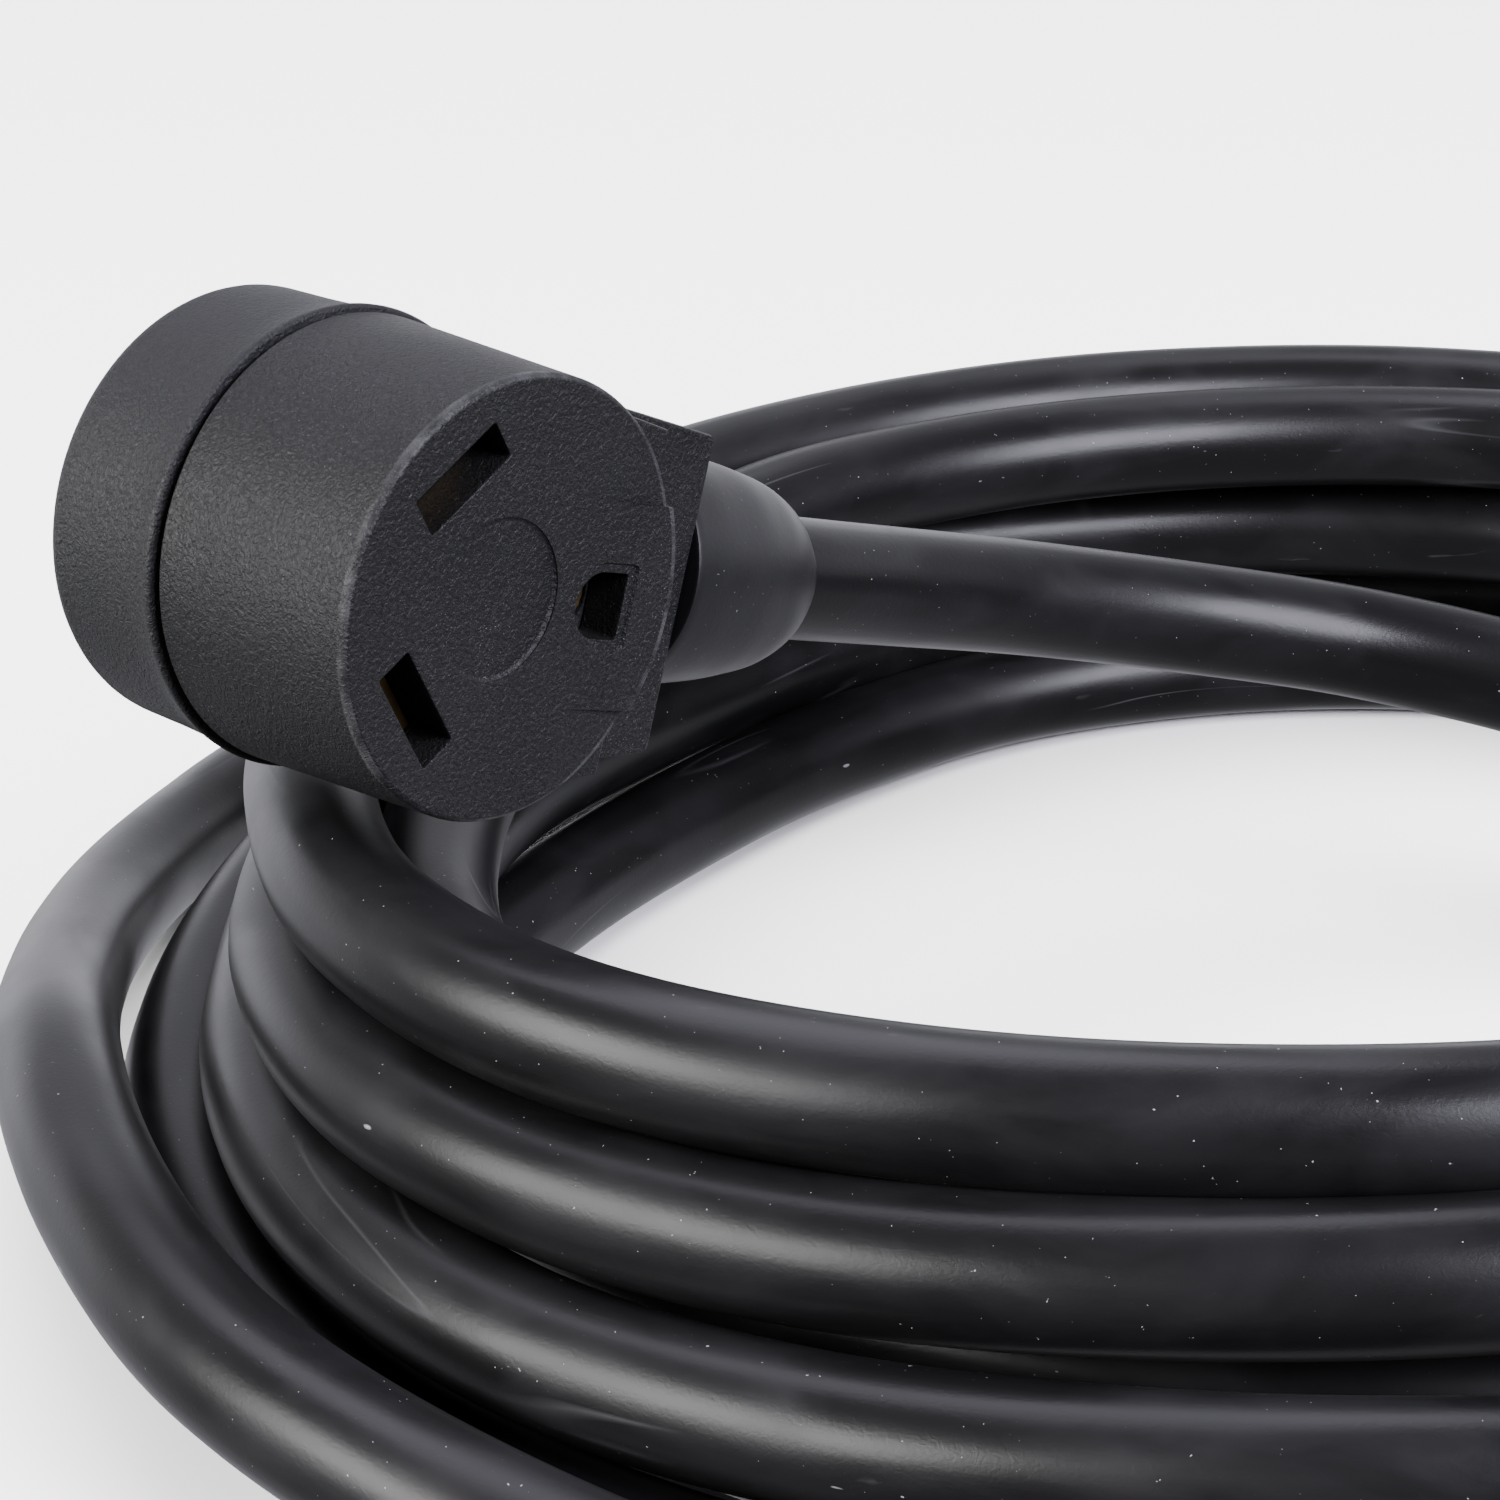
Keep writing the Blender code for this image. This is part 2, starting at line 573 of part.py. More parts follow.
def straight_out(head):
    """The first points of the cord, in line with the head's strain relief."""
    distances = (GAP, 7 * MM, 14 * MM, 20.3 * MM)
    return [tuple(head.matrix_world @ Vector((RELIEF_END + d, AXIS_DEPTH, AXIS_RISE)))
            for d in distances]


def metres(route):
    return [tuple(v * MM for v in point) for point in route]


def cord(connector, plug, material):
    coil_ring(None, material)
    neck = straight_out(connector) + metres(NECK_ROUTE)
    tube("cord_neck", smooth_route(neck, 7 * MM), CORD_RADIUS, None, material, 4)
    lead = metres(LEAD_ROUTE) + straight_out(plug)[::-1]
    tube("cord_lead", smooth_route(lead, 7 * MM), CORD_RADIUS, None, material, 4)


def centre_on_floor():
    """Move everything so that the footprint's middle is the origin."""
    bpy.context.view_layer.update()
    graph = bpy.context.evaluated_depsgraph_get()
    corners = []
    for obj in bpy.data.objects:
        if obj.type == 'EMPTY' or obj.hide_render:
            continue
        mesh = obj.evaluated_get(graph).to_mesh()
        corners += [obj.matrix_world @ v.co for v in mesh.vertices]
    low = [min(c[k] for c in corners) for k in range(3)]
    high = [max(c[k] for c in corners) for k in range(3)]
    shift = Vector((-(low[0] + high[0]) / 2, -(low[1] + high[1]) / 2, -low[2]))
    for obj in bpy.data.objects:
        if obj.parent is None:
            obj.location = obj.location + shift


def build():
    clear_scene()
    connector = frame_empty("connector_frame", CONNECTOR_PLACE, dip=CONNECTOR_DIP,
                            pitch=CONNECTOR_PITCH)
    plug = frame_empty("plug_frame", PLUG_PLACE, turn=PLUG_TURN)
    bpy.context.view_layer.update()
    make_head("connector", connector, female=True)
    make_head("plug", plug, female=False)
    cord(connector, plug, make_material("cord_jacket", (0.02, 0.02, 0.021), 0.42))
    centre_on_floor()


build()
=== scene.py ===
"""Shore power cord: the finished look of the coil, the connector on it and its plug.

Metres, +Z up, in the frame of the CAD model. A head (connector or plug) is modelled in
its own frame: x towards the cord, y back into the body, z up across the mating face.
"""
import json
import math

import bmesh
import bpy
import numpy as np
from mathutils import Matrix, Vector


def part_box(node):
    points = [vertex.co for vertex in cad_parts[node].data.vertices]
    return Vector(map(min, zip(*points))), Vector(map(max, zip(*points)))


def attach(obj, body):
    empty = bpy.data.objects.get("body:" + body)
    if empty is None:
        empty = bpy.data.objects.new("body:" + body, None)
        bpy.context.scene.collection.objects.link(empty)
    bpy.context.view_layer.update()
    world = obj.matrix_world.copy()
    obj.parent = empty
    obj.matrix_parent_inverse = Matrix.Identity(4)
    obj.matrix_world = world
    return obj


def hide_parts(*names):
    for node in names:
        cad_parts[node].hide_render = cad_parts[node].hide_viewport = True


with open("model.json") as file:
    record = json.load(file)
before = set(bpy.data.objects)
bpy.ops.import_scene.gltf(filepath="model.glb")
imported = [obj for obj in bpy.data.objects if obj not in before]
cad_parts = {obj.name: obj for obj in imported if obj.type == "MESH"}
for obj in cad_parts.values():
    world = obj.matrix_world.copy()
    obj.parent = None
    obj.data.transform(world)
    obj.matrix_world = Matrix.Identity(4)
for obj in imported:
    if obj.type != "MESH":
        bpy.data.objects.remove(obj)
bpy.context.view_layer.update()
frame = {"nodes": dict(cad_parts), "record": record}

MM = 0.001
GAP = 0.3 * MM                    # clearance between pieces that touch
PAST = 2 * MM                     # how far a cutter runs past the surface it cuts

# ---- where things are ----
COIL_LOW, COIL_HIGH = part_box("cord_coil")
COIL_CENTRE = np.array([(COIL_LOW[0] + COIL_HIGH[0]) / 2, (COIL_LOW[1] + COIL_HIGH[1]) / 2, 0])
FACE_MARK = Vector((0, 0, 18 * MM))       # the record's face mounts, in a head's frame
CONNECTOR_DIP = math.radians(16.7)
CONNECTOR_PITCH = math.radians(1.7)
PLUG_TURN = math.radians(90)

# ---- camera ----
VIEW_TURN = math.radians(-47.84)
VIEW_TILT = math.radians(69.41)
EYE = (-0.4292, -0.2753, 0.2371)          # from the coil's centre
LENS = 96

# ---- studio: brightness by height, from -1 straight down to 1 straight up ----
ROOM_BEFORE = ((-1, 0.42), (-0.3, 0.26), (0, 0.12), (0.3, 0.08), (0.7, 0.09), (1, 0.22))
ROOM_BEHIND = ((-1, 0.6), (-0.3, 1.1), (0, 2.1), (0.2, 1.6), (0.34, 0.38), (0.55, 0.72),
               (0.7, 0.6), (1, 0.25))
ROOM_BLUE = 1.08
COOL = (0.96, 0.95, 1.08)
WASH_STRENGTH = 12.5
WASH_SPREAD = math.radians(80)
FLOOR_HALF = 4                    # metres
FLOOR_DROP = 0.1 * MM             # so that nothing lies in the same plane as it

# ---- cord ----
CORD_RADIUS = 8.25 * MM
RING_STEP = 2.5 * MM
RING_SIDES = 28
CORE_TWIST = 0.19                 # metres along the cord for one turn of its three cores
CORE_BULGE = 0.004                # how far they show through, of the radius
LAY_STEP = 5 * MM                 # between points while the turns are eased apart
LOOSE_KNOTS = 30 * MM             # between the points the loose stretches pass through
COIL_KNOTS = 40 * MM
HELD = 40 * MM                    # the turns are freed over this length beyond a loose end
EASE_ROUNDS = 240
# The loose stretches, in the plan of the coil.
NECK_ROUTE = [(-0.0210, 0.0618, 0.0624), (-0.0040, 0.0600, 0.0575), (0.0134, 0.0553, 0.0525),
              (0.0300, 0.0480, 0.0480), (0.0430, 0.0389, 0.0445), (0.0531, 0.0278, 0.0415),
              (0.0615, 0.0140, 0.0385), (0.0690, -0.0060, 0.0340), (0.0730, -0.0300, 0.0290),
              (0.0720, -0.0540, 0.0245), (0.0665, -0.0760, 0.0205), (0.0560, -0.0970, 0.0170)]
LEAD_ROUTE = [(0.0985, 0.1715, 0.0083), (0.1200, 0.1575, 0.0083), (0.1410, 0.1405, 0.0083),
              (0.1605, 0.1210, 0.0083), (0.1780, 0.0995, 0.0090), (0.1930, 0.0765, 0.0120),
              (0.2055, 0.0530, 0.0180), (0.2140, 0.0305, 0.0248)]
# One row a turn of the coil: (degrees from the view's right, radius, height) in mm.
LANES = [
    [(331, 123, 12.5), (315, 133, 9), (270, 131, 8.25), (225, 138, 8.25), (180, 128, 8.25),
     (158, 121, 8.25), (135, 122.5, 8.25), (90, 148, 8.25), (45, 160, 8.25), (0, 150, 8.25)],
    [(315, 134, 18), (270, 131, 24.75), (225, 138, 24.75), (180, 130, 24.75), (158, 129, 23.5),
     (135, 133, 21), (90, 161, 19.5), (45, 167, 23), (0, 152, 24.75)],
    [(315, 133, 33), (270, 125.5, 41), (225, 138, 41), (180, 123.5, 41), (158, 121.5, 46),
     (135, 121.5, 53), (90, 136, 52.5), (45, 145, 53), (0, 142, 54)],
    [(315, 133, 48), (270, 142, 46.5), (225, 156, 41.5), (203, 150, 40), (180, 140, 38.5),
     (158, 137.5, 38.5), (135, 140, 36), (90, 146, 34), (45, 143, 36), (15, 132, 40)],
    [(345, 120, 47), (315, 119, 56), (270, 130, 56), (225, 151, 56), (185, 141, 55),
     (158, 138, 54.5), (135, 139.3, 54.8), (90, 152.5, 55.3), (45, 161.5, 52.5), (0, 160, 48)],
    [(315, 155, 33), (270, 160, 32), (225, 162, 25), (180, 146, 24), (158, 150, 27),
     (135, 157, 33), (90, 163, 41), (45, 172, 39), (0, 168, 30)],
    [(315, 168, 20), (270, 170, 16), (225, 167, 8.5), (180, 160, 8.25), (135, 164, 18),
     (90, 177, 27), (45, 182, 23), (0, 178, 15)],
    [(315, 182, 10), (270, 186, 12), (225, 186, 22), (200, 178, 24), (180, 177, 16),
     (157, 184, 8.25), (135, 190, 8.25), (120, 194.5, 8.25)],
]

# ---- head shells ----
FACE_RADIUS = 26.0 * MM
RIM_RADIUS = 26.5 * MM
RIM_CHAMFER = 0.5 * MM
FRONT_BACK_RADIUS = 27.6 * MM
FRONT_DEPTH = 30.1 * MM
SPIGOT_RADIUS = 25.6 * MM
SPIGOT_END = 33.0 * MM
CAP_START = 31.0 * MM
LIP_RADIUS = 28.3 * MM
CAP_BACK_RADIUS = 27.2 * MM
CAP_ROUND = 3 * MM
HEAD_DEPTH = 51.6 * MM
FACE_THICK = 6.0 * MM
WALL = 3.0 * MM
CAVITY_RADIUS = 22.4 * MM + GAP
CARRIER_BACK = 17 * MM
SHELL_STEPS = 160
CORNER_STEPS = 4
SHARP_ANGLE = math.radians(38)    # edges sharper than this stay crisp

# ---- yoke block and the face's pad ----
BLOCK = ((15, -23.3), (41, -20.2), (41, 20.2), (15, 23.3))
BLOCK_FRONT = 10.5 * MM
BLOCK_BACK = 37.5 * MM
SHOULDER = ((5, -24.2), (23.8, -21.2), (23.8, 21.2), (5, 24.2))
SHOULDER_FRONT = 3 * MM
PAD_HALF = 12.5 * MM
PAD_START = 18 * MM
PAD_BACK = 4 * MM
SLOPE = ((11.8, -0.02), (12.6, 0.12), (14, 0.26), (17, 0.44), (20, 0.64), (24, 0.95), (27, 1.25),
         (30, 1.6))

# ---- strain relief ----
AXIS_DEPTH = 24 * MM
AXIS_RISE = 0.9 * MM
RELIEF_START = 24 * MM
RELIEF_SEAT = 41.3 * MM
RELIEF_END = 73.0 * MM
TONGUE_RADIUS = 9.6 * MM
GROOVE_RADIUS = 8.0 * MM
GROOVE_START = 31 * MM
GROOVE_END = 34 * MM
RELIEF_BELL = ((15.4, 41.9), (15.2, 47), (14.8, 52), (14.3, 57), (13.6, 61.2), (12.9, 64.8),
               (12.0, 67.5), (10.9, 69.8), (9.7, 71.4), (9.1, 72.1))

# ---- contacts ----
FLAT_X = -12.4 * MM
FLAT_Z = 13.4 * MM
FLAT_TURN = 45.0
SLOT_LENGTH = 13.9 * MM
SLOT_WIDTH = 4.95 * MM
BLADE_LENGTH = 12.7 * MM
BLADE_THICK = 1.6 * MM
BLADE_REACH = 20 * MM
BLADE_BACK = 17.8 * MM
EARTH_X = 14.7 * MM
EARTH_HOLE = 4.0 * MM
LEAD_IN = 1.1 * MM
LEAD_IN_DEPTH = 0.3 * MM
PIN_RADIUS = 2.4 * MM
PIN_REACH = 23 * MM
PIN_BACK = 18.8 * MM
BARREL_RADIUS = 2.4 * MM
BARREL_END = 22 * MM
DISC_X = -3 * MM
DISC_RADIUS = 9.5 * MM
DISC_DEPTH = 0.3 * MM
DISC_TILT = math.radians(1.2)   # deeper towards the cord, nothing at its far side

# ---- cap screws ----
SCREW_CIRCLE = 18 * MM
SCREW_ANGLES = (60.0, 180.0, 300.0)
POST_RADIUS = 3.4 * MM
SHANK_RADIUS = 1.5 * MM
SCREW_RADIUS = 3.0 * MM
SINK_DEPTH = 2 * MM
SCREW_STEP = 0.4 * MM


# ---------------------------------------------------------------- camera, floor, light

def link(obj):
    bpy.context.scene.collection.objects.link(obj)
    return obj


def make_camera():
    data = bpy.data.cameras.new("camera")
    data.lens = LENS
    data.sensor_width = 36
    data.clip_start = 0.01
    camera = link(bpy.data.objects.new("camera", data))
    camera.location = Vector(COIL_CENTRE) + Vector(EYE)
    camera.rotation_euler = (VIEW_TILT, 0, VIEW_TURN)
    bpy.context.scene.camera = camera
    return camera


def soft_light(name, aside, ahead, up, size, power, colour=(1, 1, 1)):
    """A softbox placed in the view's own directions from the coil, which it looks at."""
    data = bpy.data.lights.new(name, 'AREA')
    data.shape = 'RECTANGLE'
    data.size, data.size_y = size
    data.energy = power
    data.color = colour
    light = link(bpy.data.objects.new(name, data))
    spot = Matrix.Rotation(VIEW_TURN, 4, 'Z') @ Vector((aside, ahead, up))
    light.location = spot + Vector(COIL_CENTRE)
    aim = Vector(COIL_CENTRE) + Vector((0, 0, 0.05))
    light.rotation_euler = (aim - light.location).to_track_quat('-Z', 'Y').to_euler()


def floor_wash(floor):
    """Wide, even light from overhead that falls on the floor only."""
    data = bpy.data.lights.new("floor_wash", 'SUN')
    data.energy = WASH_STRENGTH
    data.angle = WASH_SPREAD
    light = link(bpy.data.objects.new("floor_wash", data))
    lit = bpy.data.collections.new("floor_wash")
    lit.objects.link(floor)
    light.light_linking.receiver_collection = lit


def make_world():
    """A plain studio, bright low down behind the coil as the view has it, else dim."""
    world = bpy.data.worlds.new("studio")
    bpy.context.scene.world = world
    world.use_nodes = True
    nodes, links = world.node_tree.nodes, world.node_tree.links
    where = nodes.new("ShaderNodeTexCoord").outputs["Generated"]
    split = nodes.new("ShaderNodeSeparateXYZ")
    links.new(where, split.inputs[0])
    height = nodes.new("ShaderNodeMapRange")
    height.inputs["From Min"].default_value = -1
    links.new(split.outputs["Z"], height.inputs["Value"])
    ahead = nodes.new("ShaderNodeVectorMath")
    ahead.operation = 'DOT_PRODUCT'
    links.new(where, ahead.inputs[0])
    ahead.inputs[1].default_value = (-math.sin(VIEW_TURN), math.cos(VIEW_TURN), 0)
    side = nodes.new("ShaderNodeMapRange")
    side.inputs["From Min"].default_value = 0.1
    side.inputs["From Max"].default_value = 0.75
    links.new(ahead.outputs["Value"], side.inputs["Value"])
    blend = nodes.new("ShaderNodeMix")
    blend.data_type = 'RGBA'
    links.new(side.outputs["Result"], blend.inputs["Factor"])
    for socket, stops in ((blend.inputs[6], ROOM_BEFORE), (blend.inputs[7], ROOM_BEHIND)):
        ramp = nodes.new("ShaderNodeValToRGB")
        links.new(height.outputs["Result"], ramp.inputs["Fac"])
        set_stops(ramp, [((level + 1) / 2, (value, value, value * ROOM_BLUE))
                         for level, value in stops])
        links.new(ramp.outputs["Color"], socket)
    links.new(blend.outputs[2], nodes["Background"].inputs["Color"])


def make_floor(material):
    bm = bmesh.new()
    bmesh.ops.create_grid(bm, x_segments=8, y_segments=8, size=FLOOR_HALF)
    bmesh.ops.translate(bm, verts=bm.verts, vec=(0, 0, -FLOOR_DROP))
    mesh = bpy.data.meshes.new("floor")
    bm.to_mesh(mesh)
    bm.free()
    mesh.materials.append(material)
    floor = link(bpy.data.objects.new("floor", mesh))
    floor.visible_diffuse = False         # the pieces see the plain studio instead
    floor.visible_glossy = False
    return floor


# ---------------------------------------------------------------- materials

def set_stops(ramp, stops):
    """Fills a colour ramp with (position, colour) stops."""
    elements = ramp.color_ramp.elements
    while len(elements) > 1:
        elements.remove(elements[-1])
    elements[0].position = stops[0][0]
    elements[0].color = (*stops[0][1], 1)
    for position, colour in stops[1:]:
        elements.new(position).color = (*colour, 1)


class Finish:
    """One material, built up from a few kinds of node."""

    def __init__(self, name, roughness, metallic=0.0, specular=0.5, where=None):
        self.material = bpy.data.materials.new(name)
        self.material.use_nodes = True
        self.nodes = self.material.node_tree.nodes
        self.links = self.material.node_tree.links
        self.shader = self.nodes["Principled BSDF"]
        self.shader.inputs["Roughness"].default_value = roughness
        self.shader.inputs["Metallic"].default_value = metallic
        self.shader.inputs["Specular IOR Level"].default_value = specular
        if where:
            source = self.nodes.new("ShaderNodeAttribute")
            source.attribute_name = where
            self.where = source.outputs["Vector"]
        else:
            self.where = self.nodes.new("ShaderNodeTexCoord").outputs["Object"]

    def node(self, kind, inputs, **settings):
        node = self.nodes.new(kind)
        for name, value in settings.items():
            setattr(node, name, value)
        for name, value in inputs.items():
            if isinstance(value, bpy.types.NodeSocket):
                self.links.new(value, node.inputs[name])
            else:
                node.inputs[name].default_value = value
        return node

    def spread(self, stretch):
        if stretch == (1, 1, 1):
            return self.where
        return self.node("ShaderNodeMapping", {"Vector": self.where, "Scale": stretch}).outputs[0]

    def noise(self, scale, detail=2.0, stretch=(1, 1, 1), distortion=0.0):
        inputs = {"Vector": self.spread(stretch), "Scale": scale, "Detail": detail,
                  "Distortion": distortion}
        return self.node("ShaderNodeTexNoise", inputs).outputs[0]

    def level(self, value, low, high, to_low=0.0, to_high=1.0):
        """Maps low..high to to_low..to_high, held at both ends."""
        inputs = {"Value": value, "From Min": low, "From Max": high, "To Min": to_low,
                  "To Max": to_high}
        return self.node("ShaderNodeMapRange", inputs).outputs[0]

    def maths(self, operation, a, b):
        node = self.nodes.new("ShaderNodeMath")
        node.operation = operation
        for socket, value in zip(node.inputs, (a, b)):
            if isinstance(value, bpy.types.NodeSocket):
                self.links.new(value, socket)
            else:
                socket.default_value = value
        return node.outputs[0]

    def mix(self, factor, a, b):
        node = self.nodes.new("ShaderNodeMix")
        node.data_type = 'RGBA'
        self.links.new(factor, node.inputs["Factor"])
        for socket, value in ((node.inputs[6], a), (node.inputs[7], b)):
            if isinstance(value, bpy.types.NodeSocket):
                self.links.new(value, socket)
            else:
                socket.default_value = (*value, 1)
        return node.outputs[2]

    def bump(self, height, distance, strength=1.0):
        """Adds relief on top of what is there already."""
        node = self.node("ShaderNodeBump", {"Height": height, "Distance": distance,
                                            "Strength": strength})
        normal = self.shader.inputs["Normal"]
        if normal.is_linked:
            self.links.new(normal.links[0].from_socket, node.inputs["Normal"])
        self.links.new(node.outputs[0], normal)

    def wear(self, socket, value):
        self.links.new(value, self.shader.inputs[socket])


def moulded(name, dark, pale, grain, roughness, dust, rim=None):
    """Moulded plastic: fine leathery grain, uneven sheen, a little dust in the pits.

    rim is the (radius, depth) of an edge round the face that is painted pale, in patches, as a
    painted highlight."""
    finish = Finish(name, roughness[0], specular=0.27)
    cloud = finish.noise(38, 3.0)
    fine = finish.noise(5000, 1.0)
    wrinkles = finish.noise(1500, 3.0, distortion=1.0)
    colour = finish.mix(finish.level(cloud, 0.3, 0.7), dark, pale)
    colour = finish.mix(finish.level(fine, 0.45, 0.75, 0.0, 0.5), colour,
                        tuple(v * 2.0 for v in pale))
    where_dusty = finish.level(finish.noise(70, 2.0), 0.38, 0.62, 0.25, 1.0)
    specks = finish.level(finish.noise(4600, 1.0), dust, dust + 0.06)
    colour = finish.mix(finish.maths('MULTIPLY', specks, where_dusty), colour,
                        (0.11, 0.11, 0.115))
    # Painted highlight: the face's rim edge is made paler, in patches, in place of light caught
    # along that edge.
    if rim:
        flat = finish.node("ShaderNodeVectorMath", {0: finish.spread((1, 0, 1))},
                           operation='LENGTH').outputs["Value"]
        depth = finish.node("ShaderNodeSeparateXYZ", {0: finish.where}).outputs["Y"]
        scuffs_and_rim_highlight = finish.maths('MULTIPLY', finish.level(flat, rim[0] - 0.05 * MM, rim[0] + 0.1 * MM),
                              finish.level(depth, rim[1], rim[1] + 0.25 * MM, 1.0, 0.0))
        patchy = finish.level(finish.noise(190, 3.0), 0.42, 0.64, 0.08, 1.0)
        colour = finish.mix(finish.maths('MULTIPLY', scuffs_and_rim_highlight, patchy), colour, (0.045, 0.045, 0.047))
    finish.wear("Base Color", colour)
    finish.wear("Roughness", finish.level(cloud, 0.25, 0.75, *roughness))
    finish.bump(wrinkles, grain * 0.28 * MM)
    finish.bump(fine, grain * 0.05 * MM)
    return finish.material


def relief_rubber():
    finish = Finish("relief_rubber", 0.4, specular=0.3)
    cloud = finish.noise(60, 3.0)
    colour = finish.mix(finish.level(cloud, 0.3, 0.7), (0.0075, 0.0075, 0.0082),
                        (0.0115, 0.0115, 0.0125))
    specks = finish.level(finish.noise(2300, 1.0), 0.76, 0.81)
    finish.wear("Base Color", finish.mix(specks, colour, (0.14, 0.14, 0.145)))
    finish.wear("Roughness", finish.level(cloud, 0.25, 0.75, 0.35, 0.47))
    finish.bump(finish.noise(1000, 3.0, distortion=0.8), 0.022 * MM)
    finish.bump(finish.noise(140, 2.0), 0.05 * MM, 0.6)
    return finish.material


def jacket_rubber():
    """Satin rubber: fine wrinkles, a dull film, thin scratches, a few nicks and dust."""
    finish = Finish("jacket_rubber", 0.33, specular=0.26, where="jacket")
    cloud = finish.noise(26, 3.0, (1, 1, 0.5))
    film = finish.level(finish.noise(75, 4.0, (1, 1, 0.5), 0.6), 0.42, 0.74)
    colour = finish.mix(film, (0.005, 0.005, 0.0054), (0.012, 0.012, 0.013))
    drift = finish.maths('SUBTRACT', finish.noise(70, 1.0, (1, 1, 0.10), 0.5), 0.5)
    scratch = finish.level(finish.maths('ABSOLUTE', drift, 0), 0.0, 0.011, 1.0, 0.0)
    patches = finish.level(finish.noise(24, 2.0, (1, 1, 0.6)), 0.56, 0.66)
    scratch = finish.maths('MULTIPLY', scratch, patches)
    scuff = finish.level(finish.noise(210, 4.0, (1, 1, 0.22), 1.2), 0.69, 0.78)
    scuff = finish.maths('MULTIPLY', scuff, finish.level(cloud, 0.50, 0.62))
    scuffs_and_rim_highlight = finish.maths('MAXIMUM', finish.maths('MULTIPLY', scratch, 0.6), scuff)
    colour = finish.mix(scuffs_and_rim_highlight, colour, (0.075, 0.075, 0.08))
    specks = finish.level(finish.noise(1900, 1.0), 0.785, 0.82)
    nicks = finish.level(finish.noise(420, 1.0, (1, 1, 0.35)), 0.805, 0.825)
    colour = finish.mix(finish.maths('MAXIMUM', specks, nicks), colour, (0.26, 0.26, 0.27))
    finish.wear("Base Color", colour)
    sheen = finish.level(cloud, 0.25, 0.75, 0.27, 0.38)
    sheen = finish.maths('ADD', sheen, finish.maths('MULTIPLY', film, 0.10))
    finish.wear("Roughness", finish.maths('ADD', sheen, finish.maths('MULTIPLY', scuffs_and_rim_highlight, 0.2)))
    finish.bump(finish.noise(520, 3.0, (1, 1, 0.05)), 0.018 * MM)
    finish.bump(finish.noise(1300, 3.0, (1, 1, 0.8), 1.0), 0.020 * MM)
    finish.bump(finish.maths('MAXIMUM', nicks, scuffs_and_rim_highlight), 0.04 * MM)
    finish.bump(finish.noise(70, 2.0, (1, 1, 0.6)), 0.10 * MM, 0.7)
    return finish.material


def worked_metal(name, base, tarnish, roughness, stretch):
    """Metal with drawn lines and duller patches."""
    finish = Finish(name, roughness, 1.0)
    cloud = finish.noise(140, 4.0, distortion=0.5)
    lines = finish.noise(1500, 2.0, stretch)
    colour = finish.mix(finish.level(cloud, 0.45, 0.72), base, tarnish)
    finish.wear("Base Color", colour)
    rough = finish.level(lines, 0.3, 0.7, roughness - 0.03, roughness + 0.04)
    finish.wear("Roughness", finish.maths('ADD', rough, finish.level(cloud, 0.5, 0.8, 0.0, 0.15)))
    finish.bump(lines, 0.0012 * MM)
    return finish.material


def insulation(name, base, shade):
    """The smooth skin of one core."""
    finish = Finish(name, 0.35)
    cloud = finish.noise(160, 3.0)
    finish.wear("Base Color", finish.mix(finish.level(cloud, 0.3, 0.7), base, shade))
    finish.wear("Roughness", finish.level(cloud, 0.3, 0.7, 0.28, 0.44))
    finish.bump(finish.noise(700, 2.0), 0.02 * MM)
    return finish.material


def studio_floor():
    finish = Finish("studio_floor", 0.75, specular=0.2)
    cloud = finish.noise(0.7, 2.0)
    finish.wear("Base Color", finish.mix(cloud, (0.84, 0.84, 0.845), (0.87, 0.87, 0.87)))
    return finish.material


# ---------------------------------------------------------------- shapes

def rounded(corners, closed=True):
    """Points of a line whose corners (u, v, cut) are eased from cut before to cut after."""
    points = []
    for i, (u, v, cut) in enumerate(corners):
        corner = Vector((u, v))
        if cut == 0 or (not closed and i in (0, len(corners) - 1)):
            points.append((u, v))
            continue
        before = Vector(corners[i - 1][:2])
        after = Vector(corners[(i + 1) % len(corners)][:2])
        start = corner + (before - corner).normalized() * cut
        end = corner + (after - corner).normalized() * cut
        for t in np.linspace(0, 1, CORNER_STEPS + 1):
            point = start * (1 - t) ** 2 + corner * 2 * t * (1 - t) + end * t ** 2
            points.append((point.x, point.y))
    return points


def grown(outline, amount):
    """The outline moved outwards by amount; it runs either way round."""
    points = [Vector(p) for p in outline]
    area = sum(a.x * b.y - b.x * a.y for a, b in zip(points, points[1:] + points[:1]))
    side = 1 if area > 0 else -1
    result = []
    for i, point in enumerate(points):
        into = (point - points[i - 1]).normalized()
        out = (points[(i + 1) % len(points)] - point).normalized()
        normal_in = Vector((into.y, -into.x)) * side
        normal_out = Vector((out.y, -out.x)) * side
        mitre = (normal_in + normal_out) / (1 + normal_in.dot(normal_out))
        result.append(tuple(point + mitre * amount))
    return result


def bridge(bm, low, high):
    for i in range(len(low)):
        j = (i + 1) % len(low)
        bm.faces.new((low[i], low[j], high[j], high[i]))


def stack(bm, rings):
    """Closed body through rings with the same number of points."""
    rings = [[bm.verts.new(point) for point in ring] for ring in rings]
    for low, high in zip(rings, rings[1:]):
        bridge(bm, low, high)
    bm.faces.new(rings[0])
    bm.faces.new(rings[-1])
    return bm


def about_face(radius, height, angle):
    return (radius * math.cos(angle), height, radius * math.sin(angle))


def about_cord(radius, height, angle):
    return (height, AXIS_DEPTH + radius * math.cos(angle), AXIS_RISE + radius * math.sin(angle))


def lathe(profile, steps, place=about_face, bm=None):
    """Body turned from (radius, height) points."""
    angles = [2 * math.pi * i / steps for i in range(steps)]
    return stack(bm or bmesh.new(), [[place(r, h, a) for a in angles] for r, h in profile])


def prism(outline, sections, bm=None, across=False):
    """Sweeps an outline through (level, growth) sections, into the face or up across it."""
    rings = []
    for level, growth in sections:
        ring = grown(outline, growth)
        rings.append([(u, v, level) if across else (u, level, v) for u, v in ring])
    return stack(bm or bmesh.new(), rings)


